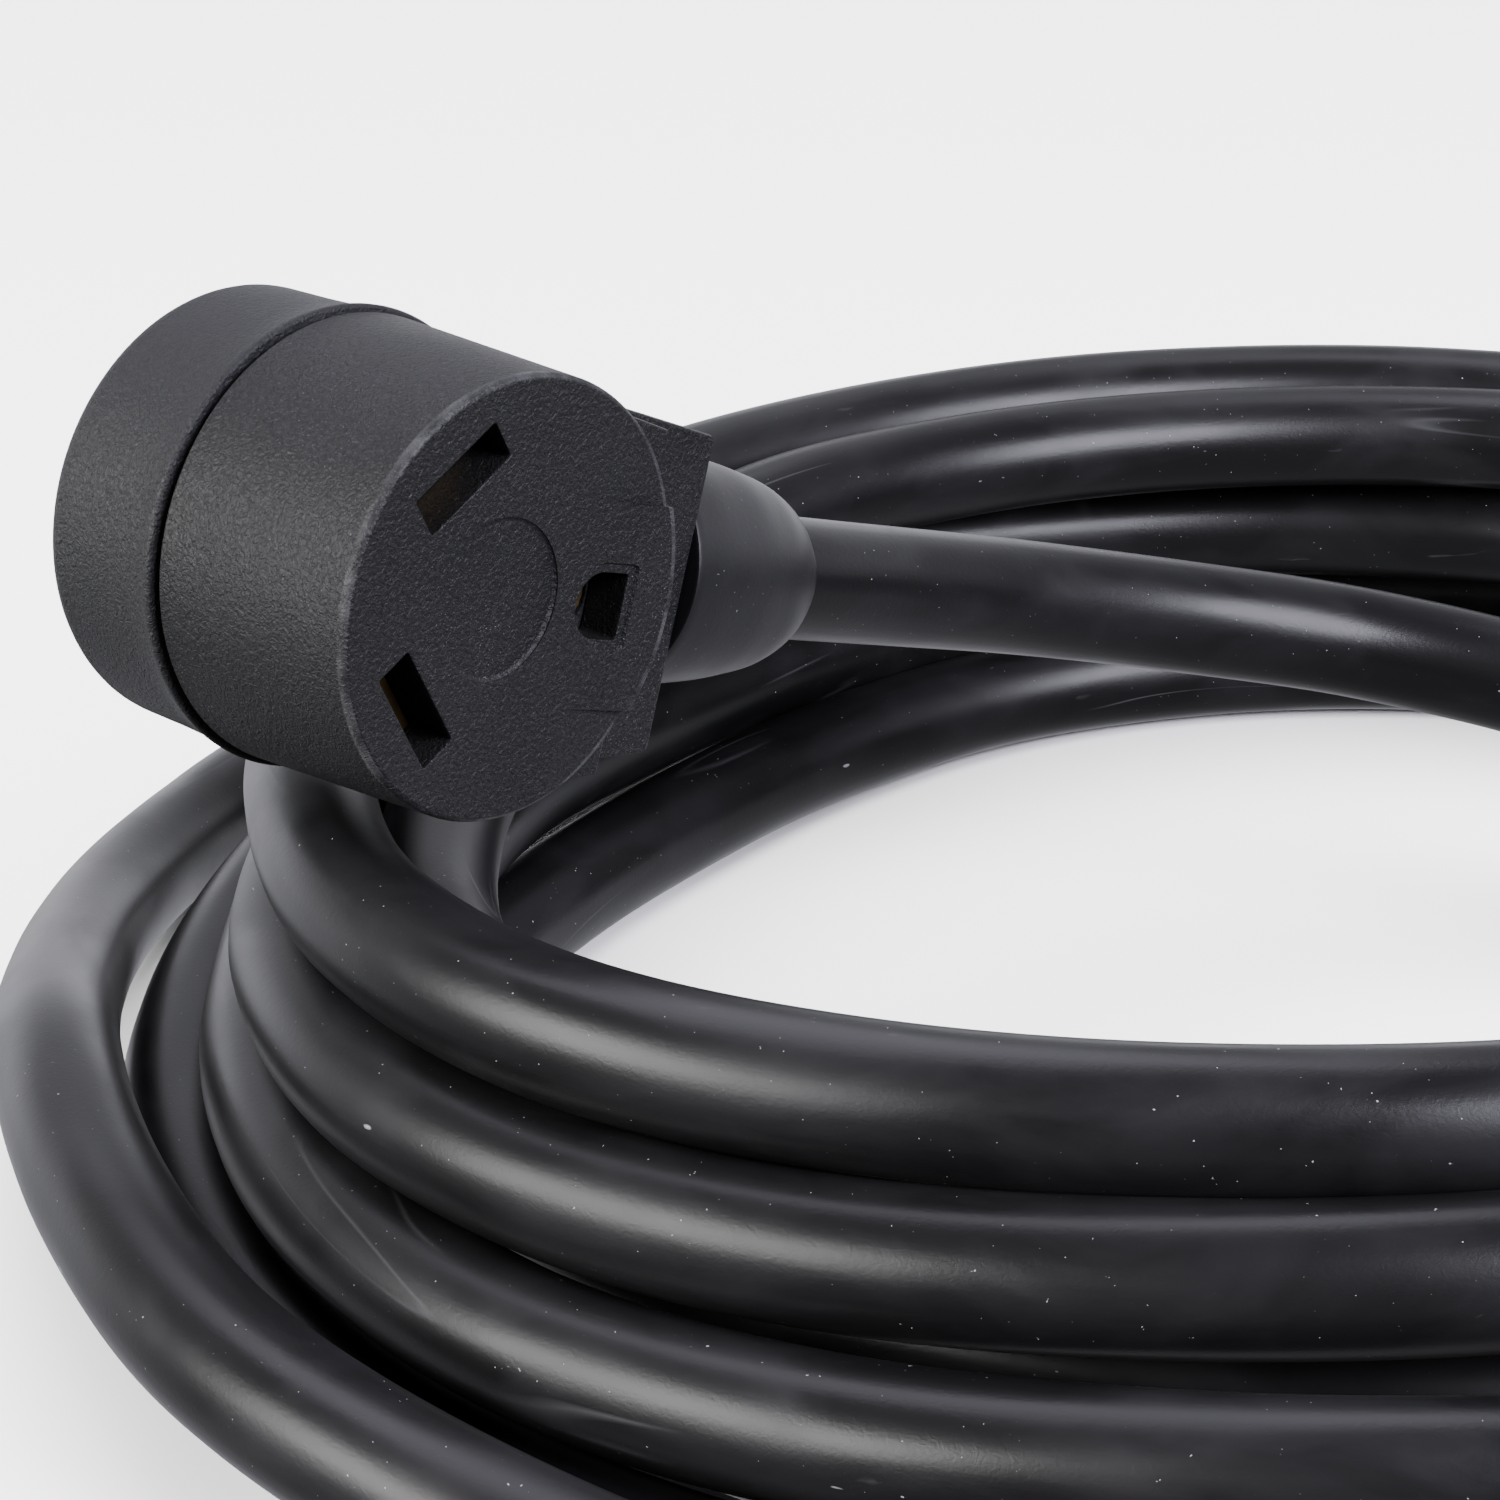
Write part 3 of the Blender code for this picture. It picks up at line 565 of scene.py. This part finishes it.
def eased(low, high, cut):
    """Sections from low to high whose ends are rounded over by cut."""
    return [(low, -cut), (low + cut * 0.3, -cut * 0.3), (low + cut, 0), (high - cut, 0),
            (high - cut * 0.3, -cut * 0.3), (high, -cut)]


def mouth(depth, cut, level=0.0):
    """Sections of a cutter whose opening at level has a rounded edge."""
    return [(-PAST, cut * 1.2), (level - 0.01 * MM, cut * 1.2), (level + cut * 0.3, cut * 0.35),
            (level + cut, 0), (depth, 0)]


def scaled(corners, cut):
    return rounded([(u * MM, v * MM, cut * MM) for u, v in corners])


def rectangle(x, z, length, width, degrees, cut):
    turn = math.radians(degrees)
    along = Vector((math.cos(turn), math.sin(turn)))
    aside = Vector((-along.y, along.x))
    corners = []
    for a, b in ((-1, -1), (1, -1), (1, 1), (-1, 1)):
        point = Vector((x, z)) + along * (a * length / 2) + aside * (b * width / 2)
        corners.append((point.x, point.y, cut))
    return rounded(corners)


def disc(x, z, radius, steps):
    return [(x + radius * math.cos(2 * math.pi * i / steps),
             z + radius * math.sin(2 * math.pi * i / steps)) for i in range(steps)]


def d_shape(x, radius, cut):
    """Round towards the face's middle, flat towards the rim."""
    arc = [math.pi * (0.5 + i / 20) for i in range(1, 20)]
    corners = [(x + radius, -radius, cut), (x + radius, radius, cut), (x, radius, 0)]
    corners += [(x + radius * math.cos(a), radius * math.sin(a), 0) for a in arc]
    return rounded(corners + [(x, -radius, 0)])


# ---------------------------------------------------------------- making pieces

def mesh_object(name, bm, place):
    bmesh.ops.recalc_face_normals(bm, faces=bm.faces)
    mesh = bpy.data.meshes.new(name)
    bm.to_mesh(mesh)
    bm.free()
    obj = link(bpy.data.objects.new(name, mesh))
    obj.matrix_world = place
    return obj


def carve(target, bm, operation):
    """Joins a body to target, or cuts it away, for good."""
    guide = mesh_object("guide", bm, target.matrix_world)
    boolean = target.modifiers.new("carve", 'BOOLEAN')
    boolean.solver = 'EXACT'
    boolean.operation = operation
    boolean.object = guide
    bpy.context.view_layer.update()
    result = bpy.data.meshes.new_from_object(
        target.evaluated_get(bpy.context.evaluated_depsgraph_get()))
    target.modifiers.remove(boolean)
    old = target.data
    target.data = result
    bpy.data.meshes.remove(old)
    old = guide.data
    bpy.data.objects.remove(guide)
    bpy.data.meshes.remove(old)


def finished(obj, node, material):
    """Smooths the piece, paints it and puts it in the place of its CAD node."""
    obj.name = node + "_fine"
    mesh = obj.data
    mesh.name = obj.name
    mesh.materials.clear()
    mesh.materials.append(material)
    mesh.shade_smooth()
    mesh.set_sharp_from_angle(angle=SHARP_ANGLE)
    weighted = obj.modifiers.new("flat_faces", 'WEIGHTED_NORMAL')
    weighted.keep_sharp = True
    weighted.weight = 80
    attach(obj, "root")
    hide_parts(node)
    return obj


def cord_channel():
    wide = TONGUE_RADIUS + GAP
    narrow = GROOVE_RADIUS + GAP
    start = GROOVE_START + GAP
    end = GROOVE_END - GAP
    mouth_cut = 0.5 * MM
    profile = [(wide, 18 * MM), (wide, start), (narrow, start), (narrow, end), (wide, end),
               (wide, 41 * MM - mouth_cut), (wide + mouth_cut * 1.2, 41 * MM + 0.1 * MM),
               (wide + mouth_cut * 1.2, 41 * MM + PAST)]
    return lathe(profile, 64, about_cord)


def face_openings(female):
    bm = bmesh.new()
    depth = FACE_THICK + PAST
    length = SLOT_LENGTH if female else BLADE_LENGTH + 2 * GAP
    width = SLOT_WIDTH if female else BLADE_THICK + 2 * GAP
    cut = 0.3 * MM
    for side in (1, -1):
        outline = rectangle(FLAT_X, side * FLAT_Z, length, width, side * FLAT_TURN, 0.35 * MM)
        prism(outline, mouth(depth, cut), bm)
    if female:
        prism(d_shape(EARTH_X, EARTH_HOLE, 0.5 * MM), mouth(depth, 0.2 * MM, LEAD_IN_DEPTH), bm)
    else:
        prism(disc(EARTH_X, 0, PIN_RADIUS + GAP, 48), mouth(depth, cut), bm)
    return bm


def front_shell(prefix, place, material, female):
    profile = rounded([(FACE_RADIUS, 0, 0.25 * MM), (RIM_RADIUS, RIM_CHAMFER, 0.3 * MM),
                       (FRONT_BACK_RADIUS, FRONT_DEPTH, 0.35 * MM),
                       (SPIGOT_RADIUS, FRONT_DEPTH, 0), (SPIGOT_RADIUS, SPIGOT_END, 0)],
                      closed=False)
    first = [(FACE_RADIUS - 0.25 * MM, 0), (FACE_RADIUS - 0.1 * MM, 0.02 * MM),
             (FACE_RADIUS + 0.12 * MM, 0.14 * MM)]
    shell = mesh_object(prefix, lathe(first + profile[1:], SHELL_STEPS), place)
    block = scaled(BLOCK, 1.0)
    carve(shell, prism(block, eased(BLOCK_FRONT, FRONT_DEPTH, 0.5 * MM)), 'UNION')
    shoulder = prism(scaled(SHOULDER, 0.7), eased(SHOULDER_FRONT, BLOCK_FRONT + PAST, 0.4 * MM))
    carve(shell, shoulder, 'UNION')
    edge = RIM_RADIUS + GAP
    half_arc = math.asin(PAD_HALF / edge)
    pad = [(PAD_START, PAD_HALF), (PAD_START, -PAD_HALF)]
    pad += [(edge * math.cos(half_arc * a), edge * math.sin(half_arc * a))
            for a in np.linspace(-1, 1, 25)]
    low = -0.05 * MM
    sections = [(low, -0.3 * MM), (low + 0.08 * MM, -0.08 * MM), (low + 0.3 * MM, 0),
                (PAD_BACK, 0)]
    carve(shell, prism(pad, sections), 'UNION')
    wedge = [(SLOPE[0][0] * MM, -PAST), (SLOPE[-1][0] * MM, -PAST)]
    wedge += [(x * MM, depth * MM) for x, depth in reversed(SLOPE)]
    slopes = prism(wedge, [(PAD_HALF, 0), (30 * MM, 0)], across=True)
    prism(wedge, [(-30 * MM, 0), (-PAD_HALF, 0)], slopes, across=True)
    carve(shell, slopes, 'DIFFERENCE')
    cavity = [(CAVITY_RADIUS, FACE_THICK), (CAVITY_RADIUS, SPIGOT_END + PAST)]
    carve(shell, lathe(cavity, 96), 'DIFFERENCE')
    carve(shell, cord_channel(), 'DIFFERENCE')
    dish = prism(disc(0, 0, DISC_RADIUS, 96),
                 [(-PAST, 0.2 * MM), (0, 0.2 * MM), (DISC_DEPTH * 0.5, 0.02 * MM),
                  (DISC_DEPTH * 0.8, -0.1 * MM), (DISC_DEPTH, -0.4 * MM)])
    dish.transform(Matrix.Translation((DISC_X, 0, 0)) @ Matrix.Rotation(DISC_TILT, 4, 'Z'))
    if female:
        lead_in = d_shape(EARTH_X, EARTH_HOLE + LEAD_IN, 0.8 * MM)
        prism(lead_in, [(-PAST, 0.2 * MM), (0, 0.2 * MM), (0.25 * MM, 0), (LEAD_IN_DEPTH, 0)],
              dish)
    carve(shell, dish, 'DIFFERENCE')
    carve(shell, face_openings(female), 'DIFFERENCE')
    return finished(shell, prefix + "_front_shell", material)


def screw_places():
    for degrees in SCREW_ANGLES:
        angle = math.radians(degrees)
        yield SCREW_CIRCLE * math.cos(angle), SCREW_CIRCLE * math.sin(angle)


def rear_cap(prefix, place, material):
    back = HEAD_DEPTH
    seat = SPIGOT_END + 1.3 * MM
    profile = [(27.75 * MM, CAP_START), (27.95 * MM, CAP_START + 0.03 * MM),
               (28.15 * MM, CAP_START + 0.15 * MM), (LIP_RADIUS, CAP_START + 0.45 * MM),
               (28.25 * MM, CAP_START + 0.95 * MM), (28.05 * MM, 32.6 * MM),
               (27.85 * MM, 33.7 * MM), (27.65 * MM, 34.9 * MM), (27.52 * MM, 36.3 * MM),
               (27.4 * MM, 39 * MM), (27.3 * MM, 42 * MM)]
    for i in range(9):
        angle = math.pi / 2 * i / 8
        profile.append((CAP_BACK_RADIUS - CAP_ROUND * (1 - math.cos(angle)),
                        back - CAP_ROUND * (1 - math.sin(angle))))
    cap = mesh_object(prefix, lathe(profile, SHELL_STEPS), place)
    carve(cap, prism(scaled(BLOCK, 1.0), eased(CAP_START, BLOCK_BACK, 0.5 * MM)), 'UNION')
    rim = SPIGOT_RADIUS + GAP
    inside = CAP_BACK_RADIUS - WALL
    cavity = [(rim, CAP_START - PAST), (rim, seat), (inside, seat), (inside, back - WALL)]
    carve(cap, lathe(cavity, 96), 'DIFFERENCE')
    carve(cap, cord_channel(), 'DIFFERENCE')
    posts, holes = bmesh.new(), bmesh.new()
    for x, z in screw_places():
        prism(disc(x, z, POST_RADIUS, 32), [(CARRIER_BACK + GAP, 0), (back - WALL / 2, 0)], posts)
        sink = [(SHANK_RADIUS + GAP, CARRIER_BACK - PAST), (SHANK_RADIUS + GAP, back - SINK_DEPTH),
                (SCREW_RADIUS + GAP, back - SINK_DEPTH), (SCREW_RADIUS + GAP, back - 0.3 * MM),
                (SCREW_RADIUS + 0.6 * MM, back + 0.01 * MM), (SCREW_RADIUS + 0.6 * MM, back + PAST)]
        lathe(sink, 40, lambda r, h, a: (x + r * math.cos(a), h, z + r * math.sin(a)), holes)
    carve(cap, posts, 'UNION')
    carve(cap, holes, 'DIFFERENCE')
    return finished(cap, prefix + "_rear_cap", material)


def cap_screw(node, x, z, place, material):
    """A pan-head screw with a cross recess."""
    top = HEAD_DEPTH - SCREW_STEP
    seat = HEAD_DEPTH - SINK_DEPTH + GAP
    profile = [(1.0 * MM, 10 * MM), (SHANK_RADIUS, 11 * MM), (SHANK_RADIUS, seat),
               (SCREW_RADIUS, seat), (SCREW_RADIUS, top - 0.55 * MM),
               (SCREW_RADIUS - 0.2 * MM, top - 0.22 * MM), (SCREW_RADIUS - 0.7 * MM, top)]
    screw = mesh_object(node, lathe(profile, 40), place @ Matrix.Translation((x, 0, z)))
    for turn in (20, 110):
        slot = rectangle(0, 0, 3.4 * MM, 0.7 * MM, turn, 0.2 * MM)
        sections = [(top - 0.9 * MM, -0.15 * MM), (top - 0.1 * MM, 0), (top + PAST, 0.1 * MM)]
        carve(screw, prism(slot, sections), 'DIFFERENCE')
    return finished(screw, node, material)


def strain_relief(prefix, place, material):
    bell = curve_through([(r * MM, h * MM, 0) for r, h in RELIEF_BELL], 5)[:, :2]
    profile = [(TONGUE_RADIUS, RELIEF_START), (TONGUE_RADIUS, GROOVE_START),
               (GROOVE_RADIUS, GROOVE_START), (GROOVE_RADIUS, GROOVE_END),
               (TONGUE_RADIUS, GROOVE_END), (TONGUE_RADIUS, RELIEF_SEAT),
               (14.9 * MM, RELIEF_SEAT), (15.25 * MM, RELIEF_SEAT + 0.15 * MM)]
    profile += [tuple(point) for point in bell]
    profile += [(8.95 * MM, 72.5 * MM), (8.75 * MM, 72.8 * MM), (8.4 * MM, RELIEF_END)]
    relief = mesh_object(prefix, lathe(profile, 96, about_cord), place)
    return finished(relief, prefix + "_strain_relief", material)


def flat_blade(node, side, place, material):
    """A flat blade with a bevelled tip, and its crimp barrel."""
    outline = rectangle(FLAT_X, side * FLAT_Z, BLADE_LENGTH, BLADE_THICK, side * FLAT_TURN,
                        0.25 * MM)
    tip = -BLADE_REACH
    sections = [(tip, -0.5 * MM), (tip + 0.15 * MM, -0.35 * MM), (tip + 1.2 * MM, 0),
                (BLADE_BACK, 0)]
    blade = mesh_object(node, prism(outline, sections), place)
    barrel = prism(disc(FLAT_X, side * FLAT_Z, BARREL_RADIUS, 40),
                   eased(CARRIER_BACK + GAP, BARREL_END, 0.2 * MM))
    carve(blade, barrel, 'UNION')
    return finished(blade, node, material)


def earth_pin(node, place, material):
    tip = [(PIN_RADIUS * math.sin(a), PIN_RADIUS * (1 - math.cos(a)) - PIN_REACH)
           for a in np.linspace(0.15, math.pi / 2, 12)]
    pin = mesh_object(node, lathe(tip + [(PIN_RADIUS, PIN_BACK)], 56),
                      place @ Matrix.Translation((EARTH_X, 0, 0)))
    return finished(pin, node, material)


def head_frame(mount, turn=0.0, pitch=0.0, dip=0.0):
    """Where a head's own frame lies: its mark on the face is at the record's mount."""
    found = next(m for m in frame["record"]["mounts"] if m["name"] == mount)
    turned = (Matrix.Rotation(turn, 4, 'Z') @ Matrix.Rotation(pitch, 4, 'X')
              @ Matrix.Rotation(dip, 4, 'Y'))
    return Matrix.Translation(Vector(found["pos_m"]) - turned @ FACE_MARK) @ turned


def repaint(node, material):
    """Gives a carried-over CAD node its finish."""
    obj = frame["nodes"][node]
    for holder in obj.material_slots:
        holder.material = material
    if not obj.material_slots:
        obj.data.materials.append(material)
    return obj


def make_head(prefix, place, female, finishes):
    pieces = [front_shell(prefix, place, finishes["shell"], female),
              rear_cap(prefix, place, finishes["cap"]),
              strain_relief(prefix, place, finishes["relief"])]
    for number, (x, z) in enumerate(screw_places(), start=1):
        node = prefix + "_cap_screw_" + str(number)
        pieces.append(cap_screw(node, x, z, place, finishes["steel"]))
    if female:
        for node in ("line_contact", "neutral_contact", "earth_contact"):
            pieces.append(repaint(prefix + "_" + node, finishes["contacts"]))
    else:
        for node, side in (("line_blade", 1), ("neutral_blade", -1)):
            pieces.append(flat_blade(prefix + "_" + node, side, place, finishes["brass"]))
        pieces.append(earth_pin(prefix + "_earth_pin", place, finishes["brass"]))
    body = "_contact_carrier" if female else "_blade_carrier"
    pieces.append(repaint(prefix + body, finishes["carrier"]))
    for node in ("line_core", "neutral_core", "earth_core"):
        pieces.append(repaint(prefix + "_" + node, finishes[node]))
    return pieces


# ---------------------------------------------------------------- cord

def curve_through(points, steps):
    """A Catmull-Rom curve through points."""
    knots = np.array(points, float)
    knots = np.vstack([2 * knots[0] - knots[1], knots, 2 * knots[-1] - knots[-2]])
    fine = []
    for i in range(1, len(knots) - 2):
        before, start, end, after = knots[i - 1:i + 3]
        for t in np.linspace(0, 1, steps, endpoint=False):
            fine.append(0.5 * (2 * start + (end - before) * t
                               + (2 * before - 5 * start + 4 * end - after) * t ** 2
                               + (3 * start - before - 3 * end + after) * t ** 3))
    fine.append(knots[-2])
    return np.array(fine)


def travel_along(line):
    return np.concatenate([[0], np.cumsum(np.linalg.norm(np.diff(line, axis=0), axis=1))])


def spaced(line, step):
    travel = travel_along(line)
    stops = np.linspace(0, travel[-1], round(travel[-1] / step) + 1)
    return np.stack([np.interp(stops, travel, line[:, k]) for k in range(3)], 1)


def smooth_values(knots, values, at, level=False):
    """Cubic through the values; level keeps it flat at each high and low."""
    knots, values = np.array(knots, float), np.array(values, float)
    rise = np.diff(values) / np.diff(knots)
    inner = (values[2:] - values[:-2]) / (knots[2:] - knots[:-2])
    if level:
        same_way = rise[1:] * rise[:-1] > 0
        total = np.where(same_way, rise[1:] + rise[:-1], 1.0)
        inner = np.where(same_way, 2 * rise[1:] * rise[:-1] / total, 0.0)
    slopes = np.concatenate([rise[:1], inner, rise[-1:]])
    i = np.clip(np.searchsorted(knots, at, side='right') - 1, 0, len(knots) - 2)
    width = knots[i + 1] - knots[i]
    t = (at - knots[i]) / width
    return ((2 * t ** 3 - 3 * t ** 2 + 1) * values[i] + (t ** 3 - 2 * t ** 2 + t) * width * slopes[i]
            + (3 * t ** 2 - 2 * t ** 3) * values[i + 1] + (t ** 3 - t ** 2) * width * slopes[i + 1])


def coil_turns():
    """The coil as laid, a point every two degrees, round its own centre."""
    knots, radii, heights = [], [], []
    for turn, lane in enumerate(LANES):
        for degrees, radius, height in lane:
            knots.append(360 * turn - degrees)
            radii.append(radius * MM)
            heights.append(height * MM)
    at = np.arange(knots[0], knots[-1] + 0.001, 2.0)
    radius = smooth_values(knots, radii, at)
    height = smooth_values(knots, heights, at, level=True)
    angle = np.radians(-at) + VIEW_TURN
    return np.stack([radius * np.cos(angle), radius * np.sin(angle), height], 1)


def straight_out(place):
    """The first points of the cord, in line with a head's strain relief."""
    points = [place @ Vector((RELIEF_END + d * MM, AXIS_DEPTH, AXIS_RISE))
              for d in (-0.2, 7, 14, 20.3)]
    return [tuple(p - Vector(COIL_CENTRE)) for p in points]


def close_pairs(points, reach, apart):
    first, second = [], []
    for i in range(0, len(points), 200):
        distance = np.linalg.norm(points[i:i + 200, None] - points[None], axis=2)
        a, b = np.nonzero(distance < reach)
        keep = b - a - i > apart
        first.append(a[keep] + i)
        second.append(b[keep])
    return np.concatenate(first), np.concatenate(second)


def settle(home, free):
    """Eases turns that run into each other apart, above the floor, near where they were laid."""
    spread = np.exp(-0.5 * (np.arange(-9, 10) / 3.5) ** 2)
    spread /= spread.sum()
    points = home.copy()
    for i in range(EASE_ROUNDS):
        if i % 8 == 0:
            one, other = close_pairs(points, 26 * MM, 8)
        between = points[one] - points[other]
        distance = np.linalg.norm(between, axis=1) + 1e-12
        overlap = np.clip(2 * CORD_RADIUS - distance, 0, None)
        push = between / distance[:, None] * (overlap / 2)[:, None]
        move, count = np.zeros_like(points), np.zeros(len(points))
        for which, way in ((one, 1), (other, -1)):
            np.add.at(move, which, way * push)
            np.add.at(count, which, overlap > 0)
        move = move / np.maximum(count, 1)[:, None] + (home - points) * 0.01
        move[:, 2] += np.clip(CORD_RADIUS - points[:, 2] - move[:, 2], 0, None)
        padded = np.pad(move, ((9, 9), (0, 0)), mode='edge')
        move = np.stack([np.convolve(padded[:, k], spread, 'valid') for k in range(3)], 1)
        points = points + move * free[:, None] * 1.2
        points[:, 2] = np.maximum(points[:, 2], CORD_RADIUS)
    return points


def cord_line(connector, plug):
    """Centreline from the connector's strain relief, round the coil, to the plug's."""
    step = LAY_STEP
    neck = spaced(curve_through(straight_out(connector) + NECK_ROUTE, 24), step)
    lead = spaced(curve_through(LEAD_ROUTE + straight_out(plug)[::-1], 24), step)
    coil = spaced(coil_turns(), step)
    knots = np.vstack([spaced(neck, LOOSE_KNOTS), spaced(coil, COIL_KNOTS),
                       spaced(lead, LOOSE_KNOTS)])
    line = spaced(curve_through(knots, 8), step)
    travel = travel_along(line)
    from_neck = travel - travel_along(neck)[-1] + step
    to_lead = travel[-1] - travel_along(lead)[-1] - travel + step
    free = np.clip(from_neck / HELD, 0, 1) * np.clip(to_lead / HELD, 0, 1)
    line = settle(line, free)
    return spaced(curve_through(line, 4), RING_STEP) + COIL_CENTRE


def tube_along(name, line, material):
    """A round tube with a faint twist of its three cores showing through."""
    travel = travel_along(line)
    ahead = np.gradient(line, axis=0)
    ahead /= np.linalg.norm(ahead, axis=1)[:, None]
    up = np.array([0.0, 0.0, 1.0])
    angles = 2 * math.pi * np.arange(RING_SIDES) / RING_SIDES
    verts, laid = [], []
    for point, along, run in zip(line, ahead, travel):
        up = up - along * up.dot(along)
        up /= np.linalg.norm(up)
        aside = np.cross(along, up)
        twist = np.cos(3 * (angles - run / CORE_TWIST * 2 * math.pi))
        radius = CORD_RADIUS * (1 + CORE_BULGE * twist)
        ring = point + radius[:, None] * (np.cos(angles)[:, None] * aside
                                          + np.sin(angles)[:, None] * up)
        verts.append(ring)
        laid.append(np.stack([radius * np.cos(angles), radius * np.sin(angles),
                              np.full(RING_SIDES, run)], 1))
    verts = np.concatenate(verts)
    faces = []
    for ring in range(len(line) - 1):
        start = ring * RING_SIDES
        for i in range(RING_SIDES):
            j = (i + 1) % RING_SIDES
            faces.append((start + j, start + i, start + RING_SIDES + i, start + RING_SIDES + j))
    faces.append(tuple(range(RING_SIDES)))
    faces.append(tuple(range(len(verts) - 1, len(verts) - 1 - RING_SIDES, -1)))
    mesh = bpy.data.meshes.new(name)
    mesh.from_pydata(verts.tolist(), [], faces)
    attribute = mesh.attributes.new("jacket", 'FLOAT_VECTOR', 'POINT')
    attribute.data.foreach_set("vector", np.concatenate(laid).ravel())
    mesh.materials.append(material)
    mesh.shade_smooth()
    mesh.set_sharp_from_angle(angle=math.radians(50))
    return link(bpy.data.objects.new(name, mesh))


# ---------------------------------------------------------------- the scene

def build():
    make_camera()
    connector = head_frame("connector_face", pitch=CONNECTOR_PITCH, dip=CONNECTOR_DIP)
    plug = head_frame("plug_face", turn=PLUG_TURN)
    line = cord_line(connector, plug)
    cord = tube_along("cord", line, jacket_rubber())
    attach(cord, "root")
    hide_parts("cord_neck", "cord_coil", "cord_lead")

    finishes = {
        # The shell's rim gets a painted highlight, paler in patches.
        "shell": moulded("shell_plastic", (0.0038, 0.0038, 0.0044), (0.0056, 0.0056, 0.0064), 1.0,
                         (0.46, 0.56), 0.70, rim=(FACE_RADIUS, 1.1 * MM)),
        "cap": moulded("cap_plastic", (0.0065, 0.0065, 0.0075), (0.0095, 0.0095, 0.0108), 1.2,
                       (0.47, 0.57), 0.75),
        "relief": relief_rubber(),
        "carrier": moulded("carrier_plastic", (0.006, 0.006, 0.0065), (0.010, 0.010, 0.011), 0.8,
                           (0.5, 0.65), 0.78),
        "contacts": worked_metal("contact_brass", (0.20, 0.135, 0.055), (0.07, 0.045, 0.02),
                                 0.48, (1, 0.08, 1)),
        "brass": worked_metal("brass", (0.70, 0.50, 0.23), (0.56, 0.38, 0.16), 0.28,
                              (1, 0.08, 1)),
        "steel": worked_metal("steel", (0.55, 0.55, 0.56), (0.38, 0.37, 0.36), 0.32, (1, 1, 1)),
        "line_core": insulation("core_black", (0.012, 0.012, 0.012), (0.020, 0.020, 0.020)),
        "neutral_core": insulation("core_white", (0.78, 0.78, 0.76), (0.66, 0.66, 0.63)),
        "earth_core": insulation("core_green", (0.02, 0.20, 0.05), (0.02, 0.15, 0.04)),
    }
    make_head("connector", connector, True, finishes)
    plug_pieces = make_head("plug", plug, False, finishes)

    floor = make_floor(studio_floor())
    make_world()
    soft_light("left", -1.12, -0.60, 0.46, (1.15, 0.64), 42)
    soft_light("right", 0.89, -0.75, 0.76, (0.95, 0.75), 52, COOL)
    soft_light("top", -0.35, 0.7, 1.5, (1.3, 1.1), 18, COOL)
    floor_wash(floor)

build()
